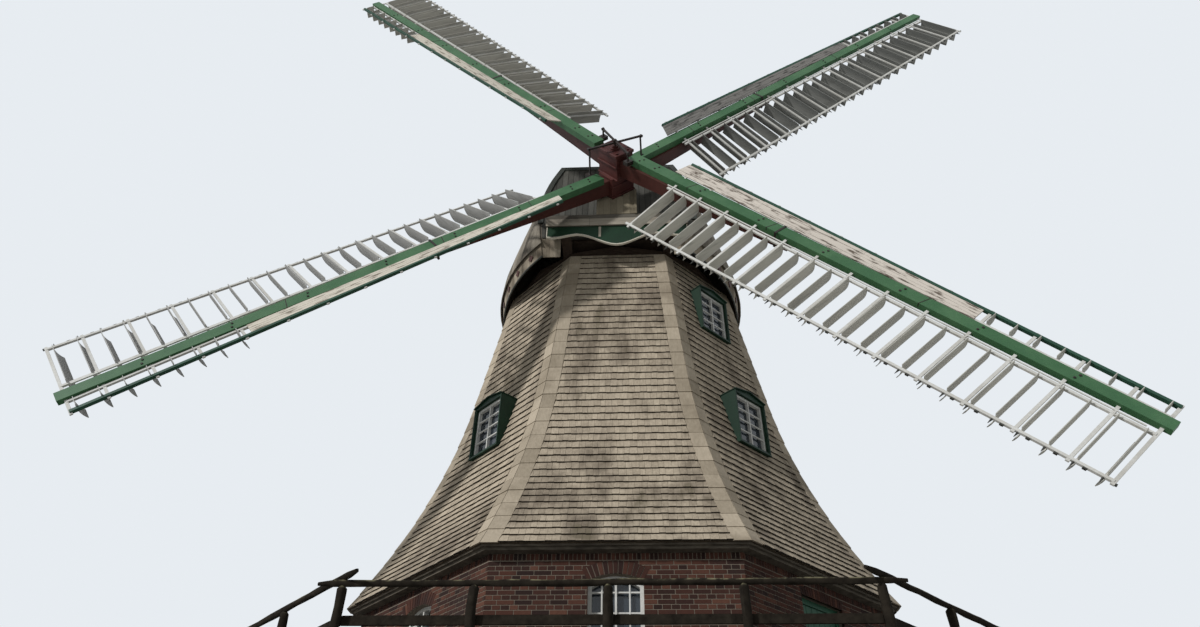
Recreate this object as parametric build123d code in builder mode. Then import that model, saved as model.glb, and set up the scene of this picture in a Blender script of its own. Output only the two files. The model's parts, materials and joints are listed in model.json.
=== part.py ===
from build123d import *
from math import asin, atan2, cos, degrees, hypot, radians, sin, sqrt, tan
import os

# Smock windmill with an octagonal brick base, a railed gallery, a turning cap and four
# shuttered sails. Millimetres, +Z up, the sails face -Y, and the origin is on the ground
# at the middle of the tower.

os.makedirs("parts", exist_ok=True)

# Octagonal plan shared by the base, the gallery and the smock
SIDES = 8
CORNER = 180 / SIDES
TAN_CORNER = tan(radians(CORNER))
COS_CORNER = cos(radians(CORNER))
FACES = {
    "front": 270, "front_right": 315, "right": 0, "back_right": 45,
    "back": 90, "back_left": 135, "left": 180, "front_left": 225,
}
DOOR_FACES = ("front_right", "back_left")
JOINT = 4

# Brick base, two storeys high
BASE_APOTHEM = 4450
BASE_WALL = 500
BASE_TOP = 6260
GROUND_FLOOR_Z = 100
GALLERY_Z = 3750
GALLERY_FLOOR_THICK = 150
STOREY_FLOORS = (GROUND_FLOOR_Z, GALLERY_Z)

# Arched windows and doors of the base, measured from each storey's floor
WINDOW_WIDTH = 800
WINDOW_SILL = 850
WINDOW_SPRING = 2040
WINDOW_RISE = 105
ARCH_STEPS = 8
WINDOW_SETBACK = 110
FRAME_WIDTH = 55
FRAME_DEPTH = 90
BAR_WIDTH = 30
GLASS_THICK = 8
DOOR_WIDTH = 1060
DOOR_HEIGHT = 2170
DOOR_SETBACK = 90
DOOR_DEPTH = 100
DOOR_FRAME = 85
DOOR_RECESS = 35

# Boarded smock: straight batter above, flared like a bell below
SMOCK_TOP_APOTHEM = 2553
SMOCK_TOP_Z = 13912
SMOCK_FOOT_APOTHEM = 4700
SMOCK_WALL = 200
SMOCK_BATTER = 9.7
FLARE_START_Z = 10600
FLARE_STEPS = 12
SOLE_INNER_APOTHEM = 4100
SOLE_HEIGHT = 200
HIP_BOARD_WIDTH = 250
HIP_BOARD_THICK = 30
SMOCK_FLOORS = (8500, 11500)
SMOCK_FLOOR_THICK = 100
FASCIA_UPPER = (4660, 30)
FASCIA_LOWER = (4610, 40)

# Smock windows: face and sill height, with a white frame in a hooded box
SMOCK_WINDOWS = (
    ("front_left", 8950), ("front_right", 8950), ("front_right", 11950),
    ("back_left", 8950), ("back_left", 11950), ("back_right", 8950),
)
CASING_WIDTH = 880
CASING_HEIGHT = 1120
CASING_PEAK = 90
CASING_THICK = 45
CASING_STAND_OFF = 90
CASING_TAIL = 120
CASEMENT_SETBACK = 60
CASEMENT_DEPTH = 60
CASEMENT_WIDTH = 50

# Gallery: planked deck on joists and brackets, with a pole railing
DECK_APOTHEM = 7180
DECK_THICK = 50
JOIST_SIZE = 120
JOIST_APOTHEMS = (5200, 6100, 6980)
BRACKET_BEAM = 200
BRACKET_WIDTH = 140
BRACKET_DROP = 1750
BRACKET_REACH = 2500
BRACKET_OFFSET = 1150
BRACKET_RISE = 280
BRACKET_NOSE = 310
RAIL_APOTHEM = 7080
RAIL_HEIGHT = 1040
POLE_RADIUS = 38
POLE_OVERHANG = 280
POST_RADIUS = 55
POLE_SIDES = 12
BAYS = 4
LOWER_RAIL_HEIGHT = 665
LOWER_RAIL_SIZE = (35, 100)
HIGH_RAIL_FACES = ("front_right", "back_right", "back_left", "front_left")

# Curb and turning cap
CURB_INNER = 2300
CURB_OUTER = 2540
CURB_HEIGHT = 140
CURB_SEGMENTS = 32
CURB_GAP = 0.5
CAP_RING_INNER = 2250
CAP_RING_OUTER = 2600
CAP_RING_HEIGHT = 120
CAP_RING_SEGMENTS = 16
SHEER_X = 1150
SHEER_SIZE = (220, 260)
RIM_Z = 14180
RIM_HALF_WIDTH = 2980
RIM_END_HALF_WIDTH = 1600
RIM_HALF_LENGTH = 3050
SHOULDER_Z = 17150
SHOULDER_X = 1400
RIDGE_Z = 17850
RIDGE_HALF_LENGTH = 1250
FLANK_THICK = 80
TOP_THICK = 60
FLANK_BULGE = 0.13
FLANK_STEPS = 8
RIM_STEPS = 10
SKIRT_INSET = 40
SKIRT_THICK = 30
SKIRT_BOTTOM_Z = 13790
SKIRT_PANELS = 8
GABLE_THICK = 60
GABLE_AXIAL = 2671
BREAST_SIZE = (360, 300)
TAIL_Y = 1500
WEATHER_FRONT_Y = -3100
WEATHER_HALF_WIDTH = 1600
WEATHER_TOP_Z = 14700
WEATHER_BOTTOM_Z = 14360
SCALLOP_THICK = 40
SCALLOP_SETBACK = 30
SCALLOP_END_DROP = 310
SCALLOP_CREST_DROP = 240
SCALLOP_DIP_DROP = 575
SCALLOP_LIP_SHARE = 0.9
SCALLOP_CREST_SHARE = 0.56
SCALLOP_STEPS = 24
WEATHER_SLOPE = 20
WEATHER_THICK = 40
SCALLOP_LIP = 25
NECK_HALF_WIDTH = 450
NECK_LENGTH = 290
NECK_HEIGHT = 1100
NECK_WIDTH = 760
BREAST_INSET = 700

# Windshaft and the crossing stocks
SHAFT_TILT = 10.4
HUB_Y = -4000
HUB_Z = 15893
SHAFT_RADIUS = 240
SHAFT_TAIL = 1950
SHAFT_GAP = 10
BEARING_GAP = 0.5
POLL_SLEEVE = (660, 470)
POLL_FRONT = 30
POLL_FRONT_LENGTH = 610
POLL_LENGTH = 1100
STOCK_SPACING = 493
STOCK_HALF_LENGTH = 5150
STOCK_ROOT = (300, 400)
STOCK_TIP = (200, 120)
STOCK_OVERLAP = 60
CONING = 2.5
SAIL_ANGLE = 40

# One sail, in its own frame: x out along the sail, y to the leading side, z to the front
SAIL_RADIUS = 11720
WHIP_START = 520
WHIP_SHIFT = 60
WHIP_ROOT = (280, 160)
WHIP_TIP = (230, 100)
WEATHER_ROOT = 16.4
WEATHER_TIP = 0.0
FRAME_START = 1990
FRAME_END = 11600
SHUTTER_PITCH = 372
SHUTTER_COUNT = 26
BAR_COUNT = 14
BAR_SIZE = (50, 26)
BAR_LEVEL = -60
BAR_SETBACK = 62
BAR_PEG = 70
TRAIL_INNER = 230
TRAIL_OUTER = (1460, 1400)
LEAD_OUTER = (560, 510)
LEAD_INNER = 225
RAIL_SIZE = (50, 40)
SHUTTER_WIDTH = 350
SHUTTER_FRONT = 85
SHUTTER_THICK = 14
SHUTTER_OPEN = {"a": 102, "b": 98, "c": 79, "d": 80}
SHUTTER_GAP = 8
SHUTTER_END_GAP = 0.8
SEAT_GAP = 0.5
BOARDS_START = 1800
BOARDS_END = 8700
BOARDS_THICK = 22

# Striking gear in front of the poll end
STRIKING_ROD = 25
STRIKING_REACH = 200
ARM_SIZE = 40
LINK_SIZE = 30
CRANK_RADIUS = 640
CRANK_LENGTH = 150
CRANK_SIDE = (82, 250)
CRANK_DEPTH = 90

FOOT_HALF_WIDTH = SMOCK_FOOT_APOTHEM * TAN_CORNER
BASE_INNER = BASE_APOTHEM - BASE_WALL
DECK_BOTTOM = GALLERY_Z - DECK_THICK
JOIST_BOTTOM = DECK_BOTTOM - JOIST_SIZE
POLE_Z = GALLERY_Z + RAIL_HEIGHT
CURB_TOP = SMOCK_TOP_Z + CURB_HEIGHT
CAP_RING_BOTTOM = CURB_TOP + CURB_GAP
CAP_RING_TOP = CAP_RING_BOTTOM + CAP_RING_HEIGHT
SHEER_TOP = CAP_RING_TOP + SHEER_SIZE[1]


def save(piece, name):
    piece.part.label = name
    export_step(piece.part, f"parts/{name}.step")
    return piece.part


def outward(angle):
    return Vector(cos(radians(angle)), sin(radians(angle)), 0)


def plan_plane(angle, z=0):
    """Level plane with x pointing out through the face at this angle."""
    return Plane(origin=(0, 0, z), x_dir=outward(angle), z_dir=(0, 0, 1))


def face_plane(angle, distance, z=0):
    """Upright plane along a face: x to the right seen from outside, y up, z outward."""
    out = outward(angle)
    right = outward(angle + 90)
    return Plane(origin=(out.X * distance, out.Y * distance, z), x_dir=right, z_dir=out)


def section_plane(angle, offset=0):
    """Upright plane through the axis, or beside it: x outward, y up."""
    side = outward(angle + 90)
    return Plane(origin=side * offset, x_dir=outward(angle), z_dir=side * -1)


def hip_plane(angle, side):
    """Upright plane through the axis at one corner of a face, facing away from the face."""
    return Plane(origin=(0, 0, 0), z_dir=outward(angle + side * (CORNER + 90)))


# Brick base: one mitred wall to each side, cut through for its door or window
def wall_openings(name):
    """Outlines of the openings of one wall, in its own face plane."""
    for floor in STOREY_FLOORS:
        if name in DOOR_FACES:
            with Locations((0, floor + DOOR_HEIGHT / 2)):
                Rectangle(DOOR_WIDTH, DOOR_HEIGHT)
        else:
            arched_outline(floor, 0)


def arched_outline(floor, inset):
    """Window outline with a low arch, drawn smaller all round by the inset."""
    half = WINDOW_WIDTH / 2 - inset
    sill = floor + WINDOW_SILL + inset
    spring = floor + WINDOW_SPRING - inset
    radius = (half ** 2 + WINDOW_RISE ** 2) / (2 * WINDOW_RISE)
    centre = spring + WINDOW_RISE - radius
    half_turn = asin(half / radius)
    arch = []
    for step in range(ARCH_STEPS + 1):
        turn = half_turn * (2 * step / ARCH_STEPS - 1)
        arch.append((radius * sin(turn), centre + radius * cos(turn)))
    with BuildLine() as outline:
        Polyline(*arch, (half, sill), (-half, sill), close=True)
    make_face(outline.edges())


for face_name, angle in FACES.items():
    with BuildPart() as base_wall:
        with BuildSketch(plan_plane(angle)):
            with BuildLine():
                Polyline(
                    (BASE_INNER, -BASE_INNER * TAN_CORNER),
                    (BASE_APOTHEM, -BASE_APOTHEM * TAN_CORNER),
                    (BASE_APOTHEM, BASE_APOTHEM * TAN_CORNER),
                    (BASE_INNER, BASE_INNER * TAN_CORNER),
                    close=True,
                )
            make_face()
        extrude(amount=BASE_TOP)
        with BuildSketch(face_plane(angle, BASE_APOTHEM)):
            wall_openings(face_name)
        extrude(amount=-BASE_WALL, mode=Mode.SUBTRACT)
    save(base_wall, f"base_wall_{face_name}")

# Doors of both storeys, each a leaf set back in its frame
with BuildPart() as doors:
    for face_name in DOOR_FACES:
        for floor in STOREY_FLOORS:
            outside = face_plane(FACES[face_name], BASE_APOTHEM - DOOR_SETBACK, floor)
            with BuildSketch(outside):
                with Locations((0, DOOR_HEIGHT / 2)):
                    Rectangle(DOOR_WIDTH, DOOR_HEIGHT)
            extrude(amount=-DOOR_DEPTH)
            with BuildSketch(outside):
                with Locations((0, (DOOR_HEIGHT - DOOR_FRAME) / 2)):
                    Rectangle(DOOR_WIDTH - 2 * DOOR_FRAME, DOOR_HEIGHT - DOOR_FRAME)
            extrude(amount=-DOOR_RECESS, mode=Mode.SUBTRACT)
save(doors, "doors")


# Window frames and glass, for the base's arched windows and the smock's casements
def base_window_planes(depth):
    """A plane for each arched window of the base, this far behind the wall's face."""
    for face_name, angle in FACES.items():
        if face_name not in DOOR_FACES:
            for floor in STOREY_FLOORS:
                yield face_plane(angle, BASE_APOTHEM - depth), floor


def smock_profile():
    """Face line of the smock from the top down: distance from the axis, and height."""
    start = SMOCK_TOP_APOTHEM + (SMOCK_TOP_Z - FLARE_START_Z) * tan(radians(SMOCK_BATTER))
    run = SMOCK_FOOT_APOTHEM - start
    fall = FLARE_START_Z - BASE_TOP
    half_turn = atan2(run, fall) - radians(SMOCK_BATTER)
    radius = hypot(run, fall) / (2 * sin(half_turn))
    points = [(SMOCK_TOP_APOTHEM, SMOCK_TOP_Z)]
    for step in range(FLARE_STEPS + 1):
        turn = radians(SMOCK_BATTER) + 2 * half_turn * step / FLARE_STEPS
        points.append((
            start + radius * (cos(radians(SMOCK_BATTER)) - cos(turn)),
            FLARE_START_Z - radius * (sin(turn) - sin(radians(SMOCK_BATTER))),
        ))
    return points


SMOCK_PROFILE = smock_profile()


def smock_apothem(z):
    """Distance of the smock's face from the axis at this height."""
    for (upper, high), (lower, low) in zip(SMOCK_PROFILE, SMOCK_PROFILE[1:]):
        if z >= low:
            break
    return upper + (lower - upper) * (high - z) / (high - low)


def casing_distance(sill):
    """Distance of a window casing's front from the axis."""
    return smock_apothem(sill) + CASING_STAND_OFF


def casing_outline(sill, inset):
    """Casing outline with a low pointed top, in a face plane."""
    half = CASING_WIDTH / 2 - inset
    eave = sill + CASING_HEIGHT - inset
    with BuildLine() as outline:
        Polyline((-half, sill + inset), (half, sill + inset), (half, eave),
                 (0, eave + CASING_PEAK), (-half, eave), close=True)
    make_face(outline.edges())


def casement_outline(sill, inset):
    """Upright rectangle that fits inside the casing."""
    width = CASING_WIDTH - 2 * CASING_THICK
    height = CASING_HEIGHT - 2 * CASING_THICK
    with Locations((0, sill + CASING_HEIGHT / 2)):
        Rectangle(width - 2 * inset, height - 2 * inset)


with BuildPart() as window_frames:
    for plane, floor in base_window_planes(WINDOW_SETBACK):
        with BuildSketch(plane):
            arched_outline(floor, 0)
        extrude(amount=-FRAME_DEPTH)
        with BuildSketch(plane):
            arched_outline(floor, FRAME_WIDTH)
            with Locations((0, floor + WINDOW_SPRING)):
                Rectangle(BAR_WIDTH, 2 * WINDOW_SPRING, mode=Mode.SUBTRACT)
        extrude(amount=-FRAME_DEPTH, mode=Mode.SUBTRACT)
    for face_name, sill in SMOCK_WINDOWS:
        front = face_plane(FACES[face_name], casing_distance(sill) - CASEMENT_SETBACK)
        with BuildSketch(front):
            casement_outline(sill, 0)
        extrude(amount=-CASEMENT_DEPTH)
        with BuildSketch(front):
            casement_outline(sill, CASEMENT_WIDTH)
            with Locations((0, sill)):
                Rectangle(BAR_WIDTH, 2 * CASING_HEIGHT, mode=Mode.SUBTRACT)
        extrude(amount=-CASEMENT_DEPTH, mode=Mode.SUBTRACT)
save(window_frames, "window_frames")

with BuildPart() as window_glass:
    for plane, floor in base_window_planes(WINDOW_SETBACK + FRAME_DEPTH):
        with BuildSketch(plane):
            arched_outline(floor, 0)
        extrude(amount=-GLASS_THICK)
    for face_name, sill in SMOCK_WINDOWS:
        back = casing_distance(sill) - CASEMENT_SETBACK - CASEMENT_DEPTH
        with BuildSketch(face_plane(FACES[face_name], back)):
            casement_outline(sill, 0)
        extrude(amount=-GLASS_THICK)
save(window_glass, "window_glass")

with BuildPart() as window_casings:
    for face_name, sill in SMOCK_WINDOWS:
        front = face_plane(FACES[face_name], casing_distance(sill))
        top_set_back = smock_apothem(sill) - smock_apothem(sill + CASING_HEIGHT + CASING_PEAK)
        casing_depth = CASING_STAND_OFF + top_set_back + CASING_TAIL
        with BuildSketch(front):
            casing_outline(sill, 0)
        extrude(amount=-casing_depth)
        with BuildSketch(front):
            casement_outline(sill, 0)
        extrude(amount=-casing_depth, mode=Mode.SUBTRACT)
save(window_casings, "window_casings")


# Smock: eight curved, mitred sides on a sole plate
def smock_strip(inner_shift, outer_shift):
    """Upright strip between two shifted face lines."""
    outer = [(apothem + outer_shift, z) for apothem, z in SMOCK_PROFILE]
    inner = [(apothem + inner_shift, z) for apothem, z in SMOCK_PROFILE]
    with BuildLine() as outline:
        Polyline(*outer, *inner[::-1], close=True)
    make_face(outline.edges())


for face_name, angle in FACES.items():
    with BuildPart() as smock_side:
        with BuildSketch(section_plane(angle)):
            smock_strip(-SMOCK_WALL, 0)
            with Locations((SOLE_INNER_APOTHEM, BASE_TOP)):
                Rectangle(
                    SMOCK_FOOT_APOTHEM - SMOCK_WALL - SOLE_INNER_APOTHEM,
                    SOLE_HEIGHT, align=(Align.MIN, Align.MIN),
                )
        extrude(amount=FOOT_HALF_WIDTH, both=True)
        for side in (-1, 1):
            split(bisect_by=hip_plane(angle, side), keep=Keep.BOTTOM)
        for window_face, sill in SMOCK_WINDOWS:
            if window_face == face_name:
                with BuildSketch(face_plane(angle, SMOCK_FOOT_APOTHEM)):
                    casing_outline(sill, 0)
                extrude(amount=-SMOCK_FOOT_APOTHEM, mode=Mode.SUBTRACT)
    save(smock_side, f"smock_side_{face_name}")


def hip_strip(angle, side):
    """The board along one corner of a face."""
    with BuildPart() as strip:
        with BuildSketch(section_plane(angle)):
            smock_strip(0, HIP_BOARD_THICK)
        extrude(amount=FOOT_HALF_WIDTH + HIP_BOARD_THICK, both=True)
        split(bisect_by=hip_plane(angle, side), keep=Keep.BOTTOM)
        inner_edge = hip_plane(angle, side).offset(-HIP_BOARD_WIDTH * COS_CORNER)
        split(bisect_by=inner_edge, keep=Keep.TOP)
    return strip.part


with BuildPart() as hip_boards:
    for angle in FACES.values():
        add(hip_strip(angle, 1))
        add(hip_strip(angle + 2 * CORNER, -1))
save(hip_boards, "hip_boards")


def octagon(apothem):
    RegularPolygon(apothem, SIDES, major_radius=False, rotation=CORNER)


with BuildPart() as skirt_fascia:
    with BuildSketch(Plane.XY.offset(BASE_TOP)):
        octagon(FASCIA_UPPER[0])
    extrude(amount=-FASCIA_UPPER[1])
    with BuildSketch(Plane.XY.offset(BASE_TOP - FASCIA_UPPER[1])):
        octagon(FASCIA_LOWER[0])
    extrude(amount=-FASCIA_LOWER[1])
    with BuildSketch(Plane.XY.offset(BASE_TOP)):
        octagon(BASE_APOTHEM)
    extrude(amount=-FASCIA_UPPER[1] - FASCIA_LOWER[1], mode=Mode.SUBTRACT)
save(skirt_fascia, "skirt_fascia")

# Floors: ground, gallery storey, and one below each row of smock windows
with BuildPart() as floors:
    with BuildSketch():
        octagon(BASE_INNER)
    extrude(amount=GROUND_FLOOR_Z)
    with BuildSketch(Plane.XY.offset(GALLERY_Z)):
        octagon(BASE_INNER)
    extrude(amount=-GALLERY_FLOOR_THICK)
    for floor in SMOCK_FLOORS:
        with BuildSketch(Plane.XY.offset(floor)):
            octagon(smock_apothem(floor) - SMOCK_WALL)
        extrude(amount=-SMOCK_FLOOR_THICK)
save(floors, "floors")

# Gallery deck, joists and brackets
with BuildPart() as gallery_deck:
    for angle in FACES.values():
        with BuildSketch(plan_plane(angle, DECK_BOTTOM)):
            with BuildLine():
                Polyline(
                    (BASE_APOTHEM, -BASE_APOTHEM * TAN_CORNER + JOINT),
                    (DECK_APOTHEM, -DECK_APOTHEM * TAN_CORNER + JOINT),
                    (DECK_APOTHEM, DECK_APOTHEM * TAN_CORNER - JOINT),
                    (BASE_APOTHEM, BASE_APOTHEM * TAN_CORNER - JOINT),
                    close=True,
                )
            make_face()
        extrude(amount=DECK_THICK)
save(gallery_deck, "gallery_deck")

with BuildPart() as gallery_joists:
    for angle in FACES.values():
        for apothem in JOIST_APOTHEMS:
            inner = apothem - JOIST_SIZE / 2
            outer = apothem + JOIST_SIZE / 2
            with BuildSketch(plan_plane(angle, JOIST_BOTTOM)):
                with BuildLine():
                    Polyline(
                        (inner, -inner * TAN_CORNER + JOINT), (outer, -outer * TAN_CORNER + JOINT),
                        (outer, outer * TAN_CORNER - JOINT), (inner, inner * TAN_CORNER - JOINT),
                        close=True,
                    )
                make_face()
            extrude(amount=JOIST_SIZE)
save(gallery_joists, "gallery_joists")


def bracket(plane, foot):
    """Cantilever beam with a strut and a wall post, standing out from the wall at foot."""
    top = JOIST_BOTTOM
    under = top - BRACKET_BEAM
    low = under - BRACKET_DROP
    with BuildSketch(plane) as profile:
        with BuildLine():
            Polyline(
                (foot, low), (foot + BRACKET_WIDTH, low), (foot + BRACKET_REACH, under),
                (foot + BRACKET_REACH, top), (foot, top), close=True,
            )
        make_face()
        with BuildLine():
            Polyline(
                (foot + BRACKET_WIDTH, low + BRACKET_RISE),
                (foot + BRACKET_REACH - BRACKET_NOSE, under),
                (foot + BRACKET_WIDTH, under), close=True,
            )
        make_face(mode=Mode.SUBTRACT)
    extrude(profile.sketch, amount=BRACKET_WIDTH / 2, both=True)


with BuildPart() as gallery_brackets:
    for angle in FACES.values():
        for offset in (-BRACKET_OFFSET, BRACKET_OFFSET):
            bracket(section_plane(angle, offset), BASE_APOTHEM)
        bracket(section_plane(angle + CORNER), BASE_APOTHEM / COS_CORNER)
save(gallery_brackets, "gallery_brackets")

# Railing: posts, crossing poles and a lower board to each side
RAIL_SIDE = 2 * RAIL_APOTHEM * TAN_CORNER


def pole_height(face_name):
    """Poles lie high and low by turns, so that they cross on the corner posts."""
    return POLE_Z + (2 * POLE_RADIUS if face_name in HIGH_RAIL_FACES else 0)


with BuildPart() as gallery_posts:
    for face_name, angle in FACES.items():
        for index in range(BAYS):
            along = RAIL_SIDE * (index / BAYS - 0.5)
            pole_z = POLE_Z if index == 0 else pole_height(face_name)
            with BuildSketch(plan_plane(angle, GALLERY_Z)):
                with Locations((RAIL_APOTHEM, along)):
                    RegularPolygon(POST_RADIUS, POLE_SIDES)
            extrude(amount=pole_z - POLE_RADIUS - GALLERY_Z)
save(gallery_posts, "gallery_posts")

with BuildPart() as gallery_rails:
    for face_name, angle in FACES.items():
        with BuildSketch(section_plane(angle)):
            with Locations((RAIL_APOTHEM, pole_height(face_name))):
                RegularPolygon(POLE_RADIUS, POLE_SIDES)
        extrude(amount=RAIL_SIDE / 2 + POLE_OVERHANG, both=True)
        board_apothem = RAIL_APOTHEM - POST_RADIUS - LOWER_RAIL_SIZE[0]
        with BuildSketch(section_plane(angle)):
            with Locations((board_apothem, GALLERY_Z + LOWER_RAIL_HEIGHT)):
                Rectangle(*LOWER_RAIL_SIZE, align=(Align.MIN, Align.CENTER))
        extrude(amount=board_apothem * TAN_CORNER - JOINT, both=True)
save(gallery_rails, "gallery_rails")

# Curb on the smock's walls, and the ring of the cap that turns on it
with BuildPart() as curb:
    with BuildSketch(Plane.XY.offset(SMOCK_TOP_Z)):
        RegularPolygon(CURB_OUTER, CURB_SEGMENTS)
        RegularPolygon(CURB_INNER, CURB_SEGMENTS, mode=Mode.SUBTRACT)
    extrude(amount=CURB_HEIGHT)
save(curb, "curb")

with BuildPart() as cap_ring:
    with BuildSketch(Plane.XY.offset(CAP_RING_BOTTOM)):
        RegularPolygon(CAP_RING_OUTER, CAP_RING_SEGMENTS)
        RegularPolygon(CAP_RING_INNER, CAP_RING_SEGMENTS, mode=Mode.SUBTRACT)
    extrude(amount=CAP_RING_HEIGHT)
save(cap_ring, "cap_ring")

# Windshaft line, from the ring's middle up to the hub
SHAFT_DIRECTION = Vector(0, -cos(radians(SHAFT_TILT)), sin(radians(SHAFT_TILT)))
HUB = Vector(0, HUB_Y, HUB_Z)
HUB_AXIAL = -HUB_Y / cos(radians(SHAFT_TILT))
SHAFT_ORIGIN = HUB - SHAFT_DIRECTION * HUB_AXIAL


def shaft_plane(axial):
    """Plane square to the windshaft, at a distance from the tower's axis: y up the plane."""
    origin = SHAFT_ORIGIN + SHAFT_DIRECTION * axial
    return Plane(origin=origin, x_dir=(1, 0, 0), z_dir=SHAFT_DIRECTION)


def gable_y(z):
    """How far the leaning gables' faces stand from the tower's axis at this height."""
    tilt = radians(SHAFT_TILT)
    return (GABLE_AXIAL - (z - SHAFT_ORIGIN.Z) * sin(tilt)) / cos(tilt)


def mirrored(plane):
    """The same plane at the back of the cap."""
    return Plane(
        origin=(plane.origin.X, -plane.origin.Y, plane.origin.Z), x_dir=(-1, 0, 0),
        z_dir=(plane.z_dir.X, -plane.z_dir.Y, plane.z_dir.Z),
    )


# Cap body: boat-shaped rim, curved flanks, hipped top and leaning gables
RIM_SPREAD = RIM_HALF_WIDTH - RIM_END_HALF_WIDTH
RIM_RADIUS = (RIM_SPREAD ** 2 + RIM_HALF_LENGTH ** 2) / (2 * RIM_SPREAD)


def rim_x(y, inset=0):
    """Half width of the boat-shaped plan."""
    return sqrt((RIM_RADIUS - inset) ** 2 - y ** 2) - (RIM_RADIUS - RIM_HALF_WIDTH)


def cross_plane(y):
    """Upright plane across the cap: x right, y up."""
    return Plane(origin=(0, y, 0), x_dir=(1, 0, 0), z_dir=(0, -1, 0))


def flank_curve(y, inset=0):
    """Half widths and heights of a flank's curve, from the rim up to the shoulder."""
    foot = rim_x(y)
    points = []
    for step in range(FLANK_STEPS + 1):
        rise = step / FLANK_STEPS
        bulge = FLANK_BULGE * (foot - SHOULDER_X) * (1 - (2 * rise - 1) ** 2)
        x = foot + (SHOULDER_X - foot) * rise + bulge - inset
        points.append((x, RIM_Z + (SHOULDER_Z - RIM_Z) * rise))
    return points


def cap_length(outline):
    """Solid along the cap through the outlines of its stations, faced with flat triangles."""
    rings = []
    for step in range(RIM_STEPS + 1):
        y = RIM_HALF_LENGTH * (2 * step / RIM_STEPS - 1)
        rings.append([Vector(x, y, z) for x, z in outline(y)])
    triangles = []
    for near, far in zip(rings, rings[1:]):
        for index in range(len(near)):
            low, high = sorted((index, (index + 1) % len(near)), key=lambda corner: near[corner].Z)
            triangles.append((near[low], near[high], far[high]))
            triangles.append((near[low], far[high], far[low]))
    outlines = triangles + [rings[0], rings[-1]]
    return Solid(Shell([Face(Wire.make_polygon(corners)) for corners in outlines]))


FRONT_GABLE = shaft_plane(GABLE_AXIAL)
BACK_GABLE = mirrored(FRONT_GABLE)

with BuildPart() as cap_flanks:
    for side in (-1, 1):
        add(cap_length(lambda y: [
            (side * x, z) for x, z in flank_curve(y) + flank_curve(y, FLANK_THICK)[::-1]
        ]))
    split(bisect_by=FRONT_GABLE, keep=Keep.BOTTOM)
    split(bisect_by=BACK_GABLE, keep=Keep.BOTTOM)
save(cap_flanks, "cap_flanks")


def hipped(inset, drop):
    """Hipped block over the cap's shoulders, drawn smaller for its hollow."""
    half_width = SHOULDER_X - inset
    half_length = gable_y(SHOULDER_Z) - inset
    ridge = RIDGE_Z - drop
    hip_run = half_length - RIDGE_HALF_LENGTH
    with BuildPart() as block:
        with BuildSketch(cross_plane(0)):
            with BuildLine():
                Polyline(
                    (-half_width, SHOULDER_Z), (half_width, SHOULDER_Z),
                    (FLANK_THICK / 2, ridge), (-FLANK_THICK / 2, ridge), close=True,
                )
            make_face()
        extrude(amount=half_length, both=True)
        for end in (-1, 1):
            split(bisect_by=Plane(
                origin=(0, end * half_length, SHOULDER_Z), x_dir=(1, 0, 0),
                z_dir=(0, end * (ridge - SHOULDER_Z), hip_run),
            ), keep=Keep.BOTTOM)
    return block.part


with BuildPart() as cap_top:
    add(hipped(0, 0))
    add(hipped(FLANK_THICK, TOP_THICK), mode=Mode.SUBTRACT)
save(cap_top, "cap_top")


def gable_outline(plane):
    """Wall between the flanks' inner faces, from the rim to the cap's top."""
    with BuildPart() as inside:
        add(cap_length(lambda y: [
            *flank_curve(y, FLANK_THICK), *[(-x, z) for x, z in flank_curve(y, FLANK_THICK)[::-1]]
        ]))
        split(bisect_by=plane, keep=Keep.BOTTOM)
        split(bisect_by=plane.offset(-GABLE_THICK), keep=Keep.TOP)
    return inside.part


with BuildPart() as cap_gables:
    add(gable_outline(FRONT_GABLE))
    add(gable_outline(BACK_GABLE))
    with BuildSketch(FRONT_GABLE):
        Circle(SHAFT_RADIUS + SHAFT_GAP)
    extrude(amount=-2 * GABLE_THICK, mode=Mode.SUBTRACT)
    with BuildSketch(Plane.XY.offset(RIM_Z)):
        with Locations((-SHEER_X, 0), (SHEER_X, 0)):
            Rectangle(SHEER_SIZE[0] + 2 * JOINT, 2 * RIM_HALF_LENGTH)
    extrude(amount=SHEER_TOP - RIM_Z, mode=Mode.SUBTRACT)
save(cap_gables, "cap_gables")

# Petticoat: flat boarded panels that follow the rim, closed at the back
SKIRT_HALF_LENGTH = gable_y(RIM_Z)

with BuildPart() as cap_skirt:
    for side in (-1, 1):
        for index in range(SKIRT_PANELS):
            y0 = SKIRT_HALF_LENGTH * (2 * index / SKIRT_PANELS - 1)
            y1 = SKIRT_HALF_LENGTH * (2 * (index + 1) / SKIRT_PANELS - 1)
            x0 = rim_x(y0, SKIRT_INSET)
            x1 = rim_x(y1, SKIRT_INSET)
            with BuildSketch(Plane.XY.offset(SKIRT_BOTTOM_Z)):
                with BuildLine():
                    Polyline(
                        (side * x0, y0 + JOINT / 2), (side * x1, y1 - JOINT / 2),
                        (side * (x1 - SKIRT_THICK), y1 - JOINT / 2),
                        (side * (x0 - SKIRT_THICK), y0 + JOINT / 2), close=True,
                    )
                make_face()
            extrude(amount=RIM_Z - SKIRT_BOTTOM_Z)
    end_inner = rim_x(SKIRT_HALF_LENGTH, SKIRT_INSET) - SKIRT_THICK - JOINT
    sheer_side = SHEER_X + SHEER_SIZE[0] / 2 + JOINT
    with BuildSketch(Plane.XY.offset(SKIRT_BOTTOM_Z)):
        for side in (-1, 1):
            with Locations((side * (end_inner + sheer_side) / 2, SKIRT_THICK / 2 - SKIRT_HALF_LENGTH)):
                Rectangle(end_inner - sheer_side, SKIRT_THICK)
        with Locations((0, SKIRT_HALF_LENGTH - SKIRT_THICK / 2)):
            Rectangle(2 * end_inner, SKIRT_THICK)
    extrude(amount=RIM_Z - SKIRT_BOTTOM_Z)
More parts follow.
